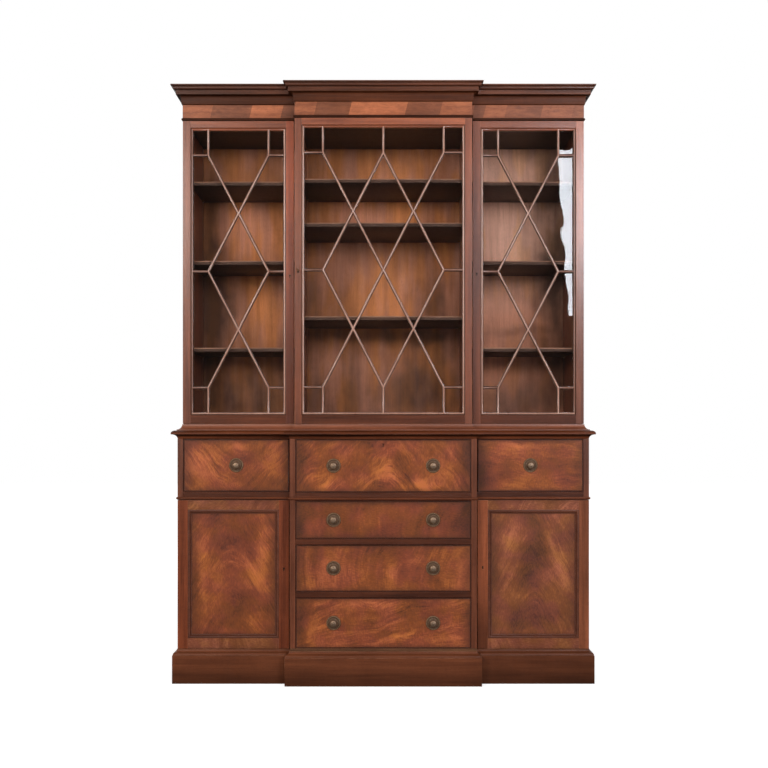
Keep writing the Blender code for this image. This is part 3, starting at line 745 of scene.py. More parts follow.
def sweep(corners, section, place, closed=True):
    """Extrudes a closed outline through the points of a section, and closes the shape."""
    body = bmesh.new()
    row = [body.verts.new(place(corner, section[0])) for corner in corners]
    first = [body.edges.new(pair) for pair in zip(row, row[1:] + row[:1])]
    if not closed:
        body.faces.new(row)
    edges = first
    for point in section[1:]:
        fresh = set(new_points(bmesh.ops.extrude_edge_only(body, edges=edges)))
        row = [next(edge.other_vert(vert) for edge in vert.link_edges
                    if edge.other_vert(vert) in fresh) for vert in row]
        edges = [body.edges.get(pair) for pair in zip(row, row[1:] + row[:1])]
        for corner, vert in zip(corners, row):
            vert.co = place(corner, point)
    if closed:
        bmesh.ops.bridge_loops(body, edges=first + edges)
    else:
        body.faces.new(row)
    bmesh.ops.recalc_face_normals(body, faces=body.faces)
    return body


print("sweeps ready")

# %% [markdown]
# All the mouldings follow one stepped plan: along the left side, across the wing, out to
# the centre and round again. Real ones are planed in lengths and mitred at each corner.
# Extruding the whole plan outline from one point of the section to the next gives the same
# mitres. The outline's ends stay behind the plane of the back, where one flat cut takes
# them off.

# %% Mouldings that follow the stepped plan
behind_back = 0.03


def cut(body, place, normal, clear=False):
    """Cuts a body's faces along a plane; clear drops what lies beyond it."""
    bmesh.ops.bisect_plane(body, geom=body.verts[:] + body.edges[:] + body.faces[:],
                           plane_co=place, plane_no=normal, clear_outer=clear)


def breakfront(plan, section, wall=None, closed=True):
    """A moulding of (out, up) points round the plan; wall gives it a member at the back."""
    half, centre, wing_front, centre_front = plan
    left = [(-half, None, -1), (-half, wing_front, -1), (-centre, wing_front, -1),
            (-centre, centre_front, -1)]
    corners = left + [(-x, y, 1) for x, y, hand in reversed(left)]

    def place(corner, point):
        x, y, hand = corner
        out, up = point
        if y is None:
            y = back_y - wall if wall and out <= -wall + 1e-6 else back_y + behind_back
        else:
            y -= out
        return (x + hand * out, y, up)

    body = sweep(corners, section, place, closed)
    cut(body, (0, back_y, 0), (0, 1, 0), clear=True)
    bmesh.ops.holes_fill(body, edges=[edge for edge in body.edges if edge.is_boundary])
    bmesh.ops.recalc_face_normals(body, faces=body.faces)
    return body


print("the plan has", len(base_plan), "measures")

# %% [markdown]
# The plinth has a flat face, a small quirk and an ogee that runs up to the carcass, and a
# rebate behind it holds the bottom of the case. A plain member at the back closes the ring.
# seat is the hair of air that is left between neighbouring pieces, here and in the doors.

# %% Plinth
plinth_top = high("plinth").z
plinth_out, plinth_face, lip, seat, wall = 0.017, 0.100, 0.0015, 0.0003, 0.027
ledge = plinth_top - 0.006
foot, head = (plinth_out - 0.0015, plinth_face), (seat + lip, plinth_top)
section = trace((-wall, 0), (plinth_out, 0), (plinth_out, plinth_face), foot,
                (halfway(foot, head), True), (head, False), (seat, plinth_top), (seat, ledge),
                (-wall, ledge))
plinth_wood = straight_wood(
    "mahogany_plinth", "moulding", (0.034, 0.0088, 0.0033), (0.118, 0.0345, 0.0135), 3.4,
    contrast=1.7, gloss=0.2, upward_ramp=(0.0, 0.100, 1.9), along=(0.28, 0.42, 1.0, 0.76))
plinth = piece("plinth_moulded", soften(breakfront(base_plan, section, wall), 0.0006),
               "carcass", plinth_wood, ["plinth"])
print("plinth", len(plinth.data.polygons), "faces")

# %% Half-round band above the cupboards
moulding_dark, moulding_light = (0.060, 0.014, 0.005), (0.175, 0.045, 0.015)
# painted shade: faces that look down are darkened
moulding_wood = straight_wood(
    "mahogany_moulding", "moulding", moulding_dark, moulding_light, 2.9, gloss=0.25, underside_shade=0.35)
band_low, band_high = low("mid_band").z, high("mid_band").z
section = trace((seat, band_low), ((0.0045, (band_low + band_high) / 2), False),
                ((seat, band_high), True))
band = piece("cupboard_band", breakfront(base_plan, section), "carcass", moulding_wood,
             ["mid_band"])
print("band", len(band.data.polygons), "faces")

# %% [markdown]
# The waist moulding hides the joint between the two cases. From below it has a deep bed
# hollow, a thin nose, an ovolo, a quirk and a cove that runs up to the upper doors. The
# board behind it is sunk, and the foot of the upper case stands in the recess.

# %% Top of the base
waist_z, waist_top = low("base_top").z, high("base_top").z
nose_z, recess_z = waist_z + 0.0155, waist_z + 0.022
quirk_z = nose_z + 0.014
nose_out, quirk_out, cove_in = 0.021, 0.003, -0.0142
section = trace((0, waist_z), ((nose_out - 0.002, nose_z), True), (nose_out, nose_z + 0.0004),
                (nose_out, nose_z + 0.004), ((0.006, quirk_z), True), (quirk_out, quirk_z),
                (quirk_out, quirk_z + 0.0035), ((cove_in, waist_top), False),
                (cove_in - 0.0015, waist_top), (cove_in - 0.0015, recess_z))
# The faces of the nose and bed that look down are darkened, a painted shade; the cove above the
# quirk is a lighter wood, a painted light.
edge_moulding_wood = straight_wood(
    "mahogany_nose", "moulding", (0.045, 0.010, 0.003), (0.175, 0.042, 0.013), 2.6, gloss=0.2,
    underside_shade=0.15)
cove_wood = straight_wood(
    "mahogany_cove", "moulding", (0.110, 0.030, 0.014), (0.330, 0.105, 0.050), 3.9)
waist = piece("waist_moulded", soften(breakfront(base_plan, section, closed=False), 0.0004),
              "carcass", [edge_moulding_wood, cove_wood], ["base_top"],
              choose=lambda face: int(face.calc_center_median().z > quirk_z + 0.001))
print("waist", len(waist.data.polygons), "faces")

# %% [markdown]
# The cornice stands on the upper case: a necking bead, a frieze veneered in leaves that
# change from light to dark, a bed mould, the flat corona and a crown. It is one frame with
# four finishes, and each face takes its finish from its height.

# %% Cornice
cornice_z = low("cornice").z
frieze_z, bed_z = cornice_z + 0.009, cornice_z + 0.056
soffit_z = bed_z + 0.030
corona_z = soffit_z + 0.003
crown_z = corona_z + 0.015
frieze_out, corona_out, ring_width = 0.0005, 0.022, 0.020
crown_foot, crown_head = (0.025, crown_z), (0.038, total_height - 0.0045)
section = trace((-ring_width, cornice_z), (frieze_out, cornice_z),
                ((0.0045, cornice_z + 0.0045), False, 6), ((frieze_out, frieze_z), True, 6),
                (frieze_out, bed_z), ((0.0045, bed_z + 0.005), False, 6),
                ((0.009, soffit_z), True), (corona_out, corona_z), (corona_out, crown_z),
                crown_foot, (halfway(crown_foot, crown_head), False), (crown_head, True),
                (crown_head[0], total_height), (-ring_width, total_height))
print("cornice section has", len(section), "points")

# %% [markdown]
# The frieze's leaves are laid side by side with slanting joints, every second one turned
# over, so that neighbours catch the light differently. A ramp with hard steps on the
# distance along the front gives each leaf its tone.

# %% Veneer of the frieze
frieze_wood, shader, here = new_material("frieze_veneer")
slope, frieze_end = 0.25, 0.75
slanted = part(here, "Z") * -slope + part(here, "X") + slope * (frieze_z + bed_z) / 2
ramp = add("ValToRGB", {"Fac": remap(slanted, -frieze_end, frieze_end)})
ramp.node.color_ramp.interpolation = "CONSTANT"
leaves = (  # (left end, tone)
    (-0.750, 0.62), (-0.620, 0.28), (-0.480, 0.88), (-0.365, 0.22), (-0.322, 0.72),
    (-0.246, 0.26), (-0.118, 1.00), (0.081, 0.38), (0.205, 0.74), (0.322, 0.26),
    (0.362, 0.62), (0.434, 0.36), (0.568, 0.66), (0.679, 0.48))
stops = ramp.node.color_ramp.elements
for number, (place, tone) in enumerate(leaves):
    share = (place + frieze_end) / (2 * frieze_end)
    stop = stops[number] if number < 2 else stops.new(share)
    stop.position = share
    stop.color = (tone, tone, tone, 1)
figure = use(grain, Vector=turned(here, "x"), Seed=11.3, Dark=(0.150, 0.048, 0.022),
             Light=(0.320, 0.115, 0.055), Contrast=2.2, Wave=0.02)
colour = tint(figure["Colour"], mix(ramp[0], (0.52, 0.52, 0.56), (1.75, 1.6, 1.45)))
mottle = smooth(noise(here, (0.040, 0.040, 0.011), 3.0, 0.6, 0.4), 0.32, 0.68)
colour = tint(colour, mix(mottle, (0.82, 0.77, 0.76), (1.15, 1.12, 1.06)))
finish_wood(shader, here, colour, figure["Height"])
fill(shader, {"Specular IOR Level": 0.35})
print("frieze in", len(leaves), "leaves")

# %% Cornice piece
# Faces that look down are darkened, a painted shade, and the bed mould is a dark wood, a painted
# shade below the corona.
crown_wood = straight_wood(
    "mahogany_cornice", "moulding", (0.030, 0.008, 0.003), (0.150, 0.043, 0.018), 2.2, wear=1.1,
    coat=0.25, gloss=0.3, underside_shade=0.35, along=(-0.65, 0.55, 0.72, 1.38))
bed_wood = straight_wood(
    "mahogany_bed", "moulding", (0.032, 0.008, 0.003), (0.125, 0.033, 0.011), 2.4, gloss=0.15,
    underside_shade=0.6, along=(-0.55, 0.05, 0.62, 1.15))
neck_wood = straight_wood(
    "mahogany_neck", "moulding", (0.020, 0.005, 0.002), (0.075, 0.020, 0.007), 2.7, gloss=0.2,
    underside_shade=0.6)


def cornice_finish(face):
    """The number of a face's wood: crown 0, frieze 1, bed 2 or neck 3."""
    middle = face.calc_center_median()
    outside = face.normal.y < -0.5 or abs(face.normal.x) > 0.5
    inside_ring = abs(middle.x) < upper_half - 0.015 and middle.y > upper_wing_y + 0.01
    if outside and frieze_z + 0.001 < middle.z < bed_z - 0.001 and not inside_ring:
        return 1
    if middle.z < frieze_z + 0.001:
        return 3
    return 2 if middle.z < corona_z + 0.0005 else 0


cornice = piece("cornice_moulded", soften(breakfront(upper_plan, section, ring_width), 0.0005),
                "carcass", [crown_wood, frieze_wood, bed_wood, neck_wood], ["cornice"],
                choose=cornice_finish)
print("cornice", len(cornice.data.polygons), "faces")

# %% [markdown]
# A glazed door is two upright stiles with two rails between them, each with its own grain.
# The lattice is drawn as a flat net whose faces are the panes. Insetting every pane step by
# step, a little further in and deeper each time, turns the lines between them into
# half-round astragals with true mitres wherever they meet, which sweeping each bar on its
# own wouldn't. The net's border is extruded outwards the same way, as the bead that runs
# round the frame.

# %% Panes of the lattice
def lattice_panes(bounds, columns, rows):
    """Outlines of the panes between the bar centres: (x, z) points."""
    left, below, right, above = bounds

    def cross(i, j):
        return halfway((columns[i], rows[j]), (columns[i + 1], rows[j + 1]))

    last_column, last_row = len(columns) - 1, len(rows) - 1
    panes = [[(x0, z0), (x1, z0), (x1, z1), (x0, z1)]
             for x0, x1 in ((left, columns[0]), (columns[-1], right))
             for z0, z1 in ((below, rows[0]), (rows[-1], above))]
    for j, (z0, z1) in enumerate(zip(rows, rows[1:])):
        first, final = columns[0], columns[-1]
        panes.append([(left, z0), (first, z0), cross(0, j), (first, z1), (left, z1)])
        panes.append([(final, z0), (right, z0), (right, z1), (final, z1),
                      cross(last_column - 1, j)])
        for i in range(1, last_column):
            panes.append([(columns[i], z0), cross(i, j), (columns[i], z1), cross(i - 1, j)])
    for i, (x0, x1) in enumerate(zip(columns, columns[1:])):
        first, final = rows[0], rows[-1]
        panes.append([(x0, below), (x1, below), (x1, first), cross(i, 0), (x0, first)])
        panes.append([(x0, final), cross(i, last_row - 1), (x1, final), (x1, above),
                      (x0, above)])
        for j in range(1, last_row):
            panes.append([(x0, rows[j]), cross(i, j - 1), (x1, rows[j]), cross(i, j)])
    return panes


print("a narrow door has", len(lattice_panes((0, 0, 3, 4), (1, 2), (1, 2, 3))), "panes")

# %% Net of glazing bars
bar_half, bar_rise, bar_depth = 0.005, 0.0058, 0.012


def net(panes, y):
    """The panes as faces that share their corners and face the front."""
    body = bmesh.new()
    for pane in panes:
        body.faces.new([body.verts.new((x, y, z)) for x, z in pane])
    bmesh.ops.remove_doubles(body, verts=body.verts, dist=1e-6)
    bmesh.ops.recalc_face_normals(body, faces=body.faces)
    body.normal_update()
    body.faces.ensure_lookup_table()
    if body.faces[0].normal.y > 0:
        bmesh.ops.reverse_faces(body, faces=body.faces)
    return body


def push_border(body, bounds, steps):
    """Extrudes the net's border outwards through steps of (out, back)."""
    left, below, right, above = bounds
    edges = [edge for edge in body.edges if edge.is_boundary]
    before = (0.0, 0.0)
    for out, back in steps:
        made = bmesh.ops.extrude_edge_only(body, edges=edges)
        fresh = set(new_points(made))
        for vert in fresh:
            across = (vert.co.x > right - 1e-4) - (vert.co.x < left + 1e-4)
            up = (vert.co.z > above - 1e-4) - (vert.co.z < below + 1e-4)
            vert.co += Vector((across * (out - before[0]), back - before[1],
                               up * (out - before[0])))
        edges = [element for element in made["geom"] if isinstance(element, bmesh.types.BMEdge)
                 and element.verts[0] in fresh and element.verts[1] in fresh]
        before = (out, back)


def open_panes(body, openings, steps):
    """Insets the panes through steps of (in, back), and takes them out."""
    before = (0.0, 0.0)
    for across, back in steps:
        bmesh.ops.inset_individual(
            body, faces=openings, thickness=across - before[0], depth=before[1] - back,
            use_even_offset=True,
        )
        before = (across, back)
    bmesh.ops.delete(body, geom=openings, context="FACES_ONLY")


print("net ready")

# %% Lattice
def join_in(body, other):
    """Adds another bmesh's shape to a body."""
    spare = to_mesh("spare", other)
    body.from_mesh(spare)
    bpy.data.meshes.remove(spare)


def lattice(bounds, columns, rows, front, steps=6):
    """The glazing bars and the bead round them, as one closed shape."""
    crest = (bounds[0] + bar_half, bounds[1] + bar_half, bounds[2] - bar_half,
             bounds[3] - bar_half)
    panes = lattice_panes(crest, columns, rows)
    turns_of_bead = [math.pi / 2 * n / steps for n in range(1, steps + 1)]
    rise = [(bar_half * math.sin(a), bar_rise * (1 - math.cos(a))) for a in turns_of_bead]
    halves = []
    for y, path_over in ((front, rise + [(bar_half, bar_depth)]),
                         (front + bar_depth, [(bar_half, 0.0)])):
        body = net(panes, y)
        if halves:
            bmesh.ops.reverse_faces(body, faces=body.faces)
        openings = body.faces[:]
        push_border(body, crest, path_over)
        open_panes(body, openings, path_over)
        halves.append(body)
    join_in(*halves)
    bmesh.ops.remove_doubles(halves[0], verts=halves[0].verts, dist=1e-5)
    return halves[0]


print("bars are", bar_half * 2000, "mm wide")

# %% [markdown]
# The doors repeat one making: two stiles that run the full height, two rails between them,
# and then what the frame holds. The keyholes are cut with a keyhole-shaped cutter, and a
# thin brass lining stands in each, as a locksmith lets it in. The walls of the hole are
# coloured nearly black, a painted shade, and the lining is dark with age and darker still,
# a painted shade of the hole.

# %% Keyholes
keyhole_depth = 0.009


def prism(outline, offset):
    """A flat outline of points, drawn out by an offset."""
    body = bmesh.new()
    face = body.faces.new([body.verts.new(point) for point in outline])
    made = bmesh.ops.extrude_face_region(body, geom=[face])
    bmesh.ops.translate(body, verts=new_points(made), vec=offset)
    bmesh.ops.recalc_face_normals(body, faces=body.faces)
    return body


def keyhole_outline(centre, y, radius, slot, drop):
    """Points round a keyhole: a round hole with a slot below."""
    reach = math.asin(slot / radius)
    turns_round = [-math.pi / 2 + reach + (2 * math.pi - 2 * reach) * n / 14 for n in range(15)]
    outline = [(radius * math.cos(a), radius * math.sin(a)) for a in turns_round]
    return [(centre[0] + x, y, centre[1] + z) for x, z in outline + [(-slot, -drop), (slot, -drop)]]


def keyhole_prism(centre, y0, y1):
    return prism(keyhole_outline(centre, y0, 0.0031, 0.0018, 0.0088), (0, y1 - y0, 0))


def carve(body, cutter):
    """Takes the cutter's shape out of a body with Blender's Boolean modifier."""
    items = [new_object(name, to_mesh(name, shape))
             for name, shape in (("carved", body), ("cutter", cutter))]
    modifier = items[0].modifiers.new("cut", "BOOLEAN")
    modifier.operation, modifier.solver, modifier.object = "DIFFERENCE", "EXACT", items[1]
    bpy.context.view_layer.update()
    carved = bmesh.new()
    carved.from_mesh(items[0].evaluated_get(bpy.context.evaluated_depsgraph_get()).to_mesh())
    for item in items:
        mesh = item.data
        bpy.data.objects.remove(item)
        bpy.data.meshes.remove(mesh)
    return carved


def keyhole_lining(name, centre, front, mover):
    """The thin brass lining of a keyhole, a touch proud of the wood."""
    body = bmesh.new()
    points = keyhole_outline(centre, front - 0.0003, 0.0023, 0.0012, 0.0081)
    row = [body.verts.new(point) for point in points]
    edges = [body.edges.new(pair) for pair in zip(row, row[1:] + row[:1])]
    made = bmesh.ops.extrude_edge_only(body, edges=edges)
    bmesh.ops.translate(body, verts=new_points(made), vec=(0, 0.006, 0))
    bmesh.ops.recalc_face_normals(body, faces=body.faces)
    bmesh.ops.solidify(body, geom=body.faces[:], thickness=-0.0006)
    return piece(name, body, mover, dark_brass)


print("keyholes are", keyhole_depth * 1000, "mm deep")

# %% Frames of the doors
# painted shade: the walls inside the keyhole are nearly black
keyhole_shade_wood = straight_wood(
    "keyhole_painted_shade", "y", (0.004, 0.0016, 0.0009), (0.014, 0.006, 0.0032), 1.9, gloss=0.1)


def board(x0, x1, y0, y1, z0, z1, arris=0.0005):
    """A squared board with its arrises taken off."""
    body = bmesh.new()
    bmesh.ops.create_cube(body, size=1)
    middle = Vector(((x0 + x1) / 2, (y0 + y1) / 2, (z0 + z1) / 2))
    bmesh.ops.scale(body, verts=body.verts, vec=(abs(x1 - x0), abs(y1 - y0), abs(z1 - z0)))
    bmesh.ops.translate(body, verts=body.verts, vec=middle)
    return soften(body, arris) if arris else body


def door_frame(name, front, stile, bottom_rail, top_rail, keyhole, woods):
    """Stiles, rails and keyhole; woods: left and right stile, top and bottom rail."""
    (x0, y0, z0), (x1, back, z1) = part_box(f"{name}_frame")
    stiles, rails = bmesh.new(), bmesh.new()
    for left in (x0, x1 - stile):
        join_in(stiles, board(left, left + stile, front, back, z0, z1, 0.0))
    stiles = carve(stiles, keyhole_prism(keyhole, front - 0.002, front + keyhole_depth))
    for bottom, top in ((z0, z0 + bottom_rail), (z1 - top_rail, z1)):
        join_in(rails, board(x0 + stile, x1 - stile, front, back, bottom, top, 0.00025))

    def stile_tone(face):
        """The left stile, the right one, or the walls of the keyhole, painted dark as shade."""
        spot = face.calc_center_median()
        beside = abs(spot.x - keyhole[0]) < 0.005 and abs(spot.z - keyhole[1]) < 0.012
        if beside and 0.0004 < spot.y - front < keyhole_depth + 0.0005:
            return 2
        return int(spot.x > (x0 + x1) / 2)

    piece(f"{name}_stiles", soften(stiles, 0.0006), name, woods[:2] + [keyhole_shade_wood],
          [f"{name}_frame"], choose=stile_tone)
    piece(f"{name}_rails", rails, name, woods[2:], [f"{name}_frame"],
          choose=lambda face: int(face.calc_center_median().z < (z0 + z1) / 2))
    keyhole_lining(f"{name}_keyhole", keyhole, front, name)


print("door frames ready")

# %% [markdown]
# The wood of the glazed doors differs from board to board. The stiles and top rails get
# lighter towards the top, a painted light, and their varnish coat is made thicker there. The
# lit upright is darker low down, a painted shade, and much lighter high up, a painted
# light; the lit rail is a lighter copy, also painted light; and the right door's outer stile
# is a lighter copy that paints a highlight. The bottom rails are a darker copy, a painted
# shade. So the woods are one recipe with changed values, and each board gets its own.

# %% Woods of the doors
frame_dark, frame_light = (0.085, 0.019, 0.007), (0.248, 0.067, 0.026)
varnished = dict(bloom=(1.15, 1.75, 0.62))
stile_wood = straight_wood(
    "mahogany_upright", "z", frame_dark, frame_light, 0.3, upward_ramp=(1.15, 1.80, 1.35), **varnished)
lit_stile_wood = straight_wood(
    "mahogany_lit_upright", "z", (0.053, 0.009, 0.0026), (0.160, 0.033, 0.0095), 0.5,
    upward_ramp=(1.05, 1.75, 3.3), **varnished)
highlight_stile_wood = straight_wood(
    "mahogany_painted_highlight", "z", frame_dark, (0.255, 0.076, 0.032), 0.7, bloom=(1.10, 1.65, 0.95),
    upward_ramp=(1.15, 1.80, 1.9))
rail_wood = straight_wood(
    "mahogany_level", "x", frame_dark, frame_light, 1.7, upward_ramp=(1.2, 2.0, 1.35), **varnished)
lit_rail_wood = straight_wood(
    "mahogany_lit_level", "x", (0.125, 0.028, 0.010), (0.360, 0.098, 0.038), 1.7,
    upward_ramp=(1.2, 2.0, 1.35), **varnished)
# painted shade: the bottom rails of the glazed doors are a darker copy of the frame wood
low_rail_wood = straight_wood(
    "mahogany_low_rail", "x", (0.045, 0.011, 0.004), (0.150, 0.040, 0.016), 1.1, gloss=0.25)
# The bars' pale pink colour is partly their wood and partly a painted highlight; faces that turn
# away from the front are darkened, a painted shade, and the dim bars are a darker copy, also
# painted shade.
bar_wood = straight_wood(
    "mahogany_bars", "z", (0.230, 0.098, 0.062), (0.520, 0.280, 0.200), 12.7, contrast=1.8,
    wear=1.0, sheen=0.30, coat=0.5, gloss=0.6, side_shade=0.22)
dim_bar_wood = straight_wood(
    "mahogany_dim_bars", "z", (0.125, 0.048, 0.029), (0.290, 0.140, 0.095), 12.9, contrast=1.8,
    sheen=0.30, coat=0.3, gloss=0.4, side_shade=0.22)
print(len(bpy.data.materials), "materials so far")

# %% [markdown]
# The bead behind the glass holds the pane in its frame. It is a quarter-round strip with
# mitred corners, so it is one more sweep, round a rectangle this time.

# %% Glazed doors
row_margin = 0.098


def rectangle_ring(bounds, section, front):
    """A mitred ring inside (x0, z0, x1, z1); the section's points are (in, out)."""
    x0, z0, x1, z1 = bounds
    corners = ((x0, z0, 1, 1), (x1, z0, -1, 1), (x1, z1, -1, -1), (x0, z1, 1, -1))

    def place(corner, point):
        return (corner[0] + corner[2] * point[0], front - point[1],
                corner[1] + corner[3] * point[0])

    return sweep(corners, section, place)


def cover(node, material):
    """Gives a CAD solid that shows its own shape another material."""
    nodes[node].data.materials.clear()
    nodes[node].data.materials.append(material)


def glazed_door(name, stile, column_margin, column_count, keyhole, woods):
    """A glazed door over its CAD nodes: frame, lattice, and the beads behind the glass."""
    frame_low, frame_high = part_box(f"{name}_frame")
    bars_low, bars_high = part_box(f"{name}_glazing_bars")
    door_frame(name, frame_low.y, stile, bars_low.z - frame_low.z - seat,
               frame_high.z - bars_high.z - seat, keyhole, woods + [low_rail_wood])
    bounds = (bars_low.x, bars_low.z, bars_high.x, bars_high.z)
    margin_x, margin_z = column_margin - seat, row_margin - seat
    first, final = bounds[0] + margin_x, bounds[2] - margin_x
    columns = [first + (final - first) * i / (column_count - 1) for i in range(column_count)]
    below, above = bounds[1] + margin_z, bounds[3] - margin_z
    rows = [below, (below + above) / 2, above]
    bars = lattice(bounds, columns, rows, bars_low.y)

    def tone_of_bar(face):
        """The bead matches the rail along the top, and short and outermost bars are dim: a darker
        copy, painted shade.
        """
        spot = face.calc_center_median()
        if spot.z > bounds[3] - 2 * bar_half:
            return 2
        short = spot.x < first - bar_half or spot.x > final + bar_half
        level = min(abs(spot.z - row) for row in rows) < 1.1 * bar_half
        outer = abs(spot.x) > max(abs(bounds[0]), abs(bounds[2])) - 2 * bar_half
        return int((short and level) or (outer and column_count == 2))

    piece(f"{name}_lattice", bars, name, [bar_wood, dim_bar_wood, rail_wood],
          [f"{name}_glazing_bars"], choose=tone_of_bar)
    bead = rectangle_ring(bounds, trace((0, 0), (0.006, 0), ((0, -0.0055), True, 5)),
                          high(f"{name}_glass").y + 0.0002)
    piece(f"{name}_glazing_bead", bead, name, rail_wood)
    cover(f"{name}_glass", glass)


glazed_door("upper_door_left", 0.028, 0.063, 2, (-0.335, 1.4577),
            [stile_wood, lit_stile_wood, rail_wood])
glazed_door("upper_door_centre", 0.025, 0.0755, 3, (-0.3025, 1.4695),
            [stile_wood, stile_wood, lit_rail_wood])
glazed_door("upper_door_right", 0.028, 0.063, 2, (0.335, 1.4645),
            [stile_wood, highlight_stile_wood, rail_wood])
print("three glazed doors hung")

# %% [markdown]
# A cupboard door has the same frame, a raised moulding planted round its opening and a flat
# panel of flame veneer behind it. The moulding stands 2 mm proud of the frame, so that it
# covers the joint, and falls in a round and a hollow to the panel.

# %% Cupboard doors
def cupboard_door(name, keyhole, panel_veneer, woods):
    (x0, y0, z0), (x1, y1, z1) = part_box(f"{name}_frame")
    stile, bottom_rail, top_rail, mould = 0.0365, 0.0375, 0.034, 0.014
    door_frame(name, wing_y, stile, bottom_rail, top_rail, keyhole, woods)
    section = trace((0.0, -0.0035), (0.0, 0.0004), (0.0004, 0.0004), ((0.0024, 0.0020), True, 5),
                    (0.0040, 0.0020), ((0.0088, -0.0018), False, 7), (0.0094, -0.0022),
                    ((0.0130, -0.0052), True, 6), (mould, -0.0054), (mould, -0.0079),
                    (0.0055, -0.0079), (0.0055, -0.0035))
    opening = (x0 + stile, z0 + bottom_rail, x1 - stile, z1 - top_rail)
    ring = soften(rectangle_ring(opening, section, wing_y), 0.0002, 40)
    piece(f"{name}_moulding", ring, name, panel_mould_wood, [f"{name}_frame"])
    cover(f"{name}_panel", panel_veneer)


print("cupboard doors ready")

# %% [markdown]
# Each cupboard panel is one leaf of veneer with its own flame, and the rails are veneered
# with short pieces laid across. The stiles are plain wood, and each has its own brown.

# %% Woods of the cupboard doors
panel_mould_wood = straight_wood(
    "mahogany_panel_mould", "moulding", (0.062, 0.016, 0.0075), (0.155, 0.045, 0.020), 13.1,
    wear=1.0)
leaves = {
    "left": dict(
        seed=21.4, spine=(-0.004, 0.0), steepness=1.6, softness=0.045, bend=0.06, strength=0.70,
        patches=((-0.01, 0.15, 0.09, 0.10, 0, -0.20), (0.105, 0.09, 0.035, 0.13, 0, 0.20),
                 (0.080, -0.01, 0.095, 0.030, -58, 0.15), (-0.112, 0.00, 0.025, 0.17, 0, 0.17),
                 (0.0, -0.12, 0.06, 0.15, 0, -0.20), (0.0, 0.035, 0.04, 0.014, 0, 0.13),
                 (0.0, 0.075, 0.06, 0.025, 0, 0.08))),
    "right": dict(
        seed=33.8, steepness=2.2, softness=0.03, bend=0.06, strength=0.62,
        tones=((0.070, 0.026, 0.017), (0.222, 0.065, 0.028), (0.470, 0.155, 0.058)),
        patches=((-0.085, 0.10, 0.11, 0.030, 70, 0.20), (0.10, 0.04, 0.16, 0.032, -68, 0.20),
                 (0.0, 0.08, 0.06, 0.14, 0, -0.20), (-0.02, -0.16, 0.10, 0.08, 0, -0.18),
                 (-0.02, -0.02, 0.05, 0.05, 0, -0.08))),
}
low_stile_wood = straight_wood(
    "mahogany_low_upright", "z", (0.082, 0.016, 0.005), (0.285, 0.066, 0.023), 0.9, gloss=0.3)
# lighter towards the top of the stile
stile_wood_lighter_above = straight_wood(
    "mahogany_upright_lighter_above", "z", (0.052, 0.012, 0.0042), (0.173, 0.046, 0.0172), 1.3,
    gloss=0.3, upward_ramp=(0.15, 0.44, 2.85))
brown_stile_wood = straight_wood(
    "mahogany_brown_upright", "z", (0.110, 0.028, 0.0107), (0.380, 0.111, 0.045), 1.5,
    gloss=0.3, upward_ramp=(0.26, 0.36, 0.70))
low_stile_woods = {"left": [low_stile_wood, low_stile_wood],
                   "right": [stile_wood_lighter_above, brown_stile_wood]}
for side, hand in sides:
    door = f"lower_door_{side}"
    leaf = figured_wood(f"flame_door_{side}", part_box(f"{door}_panel"), **leaves[side])
    rail_veneer = figured_wood(
        f"cross_figure_{side}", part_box(f"{door}_frame"), 41.0 + hand, turn=78, steepness=0.6,
        softness=0.05, strength=0.8, ends=0.2,
        tones=(frame_dark, (0.200, 0.060, 0.025), (0.46, 0.165, 0.068)))
    cupboard_door(door, (hand * 0.3553, 0.409 if hand < 0 else 0.414), leaf,
                  low_stile_woods[side] + [rail_veneer] * 2)
print("two cupboard doors hung")

# %% [markdown]
# A drawer is made the way it shows when it is pulled out: a mahogany front with a veneered
# face and a cock bead round it, thin sides joined to it by lapped dovetails, a back, and a
# bottom let in above the lower edge. The tails belong to the sides and the pins to the
# front, so both are cut from the same list of levels.

# %% Dovetails
def side_slab(points, x0, x1):
    """An outline of (y, z) points drawn out from x0 to x1."""
    return prism([(x0, y, z) for y, z in points], (x1 - x0, 0, 0))


def tails(bottom, top, count, pin_share=0.17, flare=0.07):
    """Levels of the dovetails: (root low, root high, tip low, tip high) for each tail."""
    pitch = (top - bottom) / count
    spread = pitch * flare
    levels = []
    for n in range(count):
        root = (bottom + pitch * (n + pin_share), bottom + pitch * (n + 1 - pin_share))
        levels.append((root[0], root[1], root[0] - spread, root[1] + spread))
    return levels


print("shares of a tail", [round(level, 3) for level in tails(0, 1, 1)[0]])

# %% Drawers
cock_width, cock_depth, cock_rise = 0.0035, 0.009, 0.0015
front_thickness, side_thickness, side_drop = 0.020, 0.011, 0.014


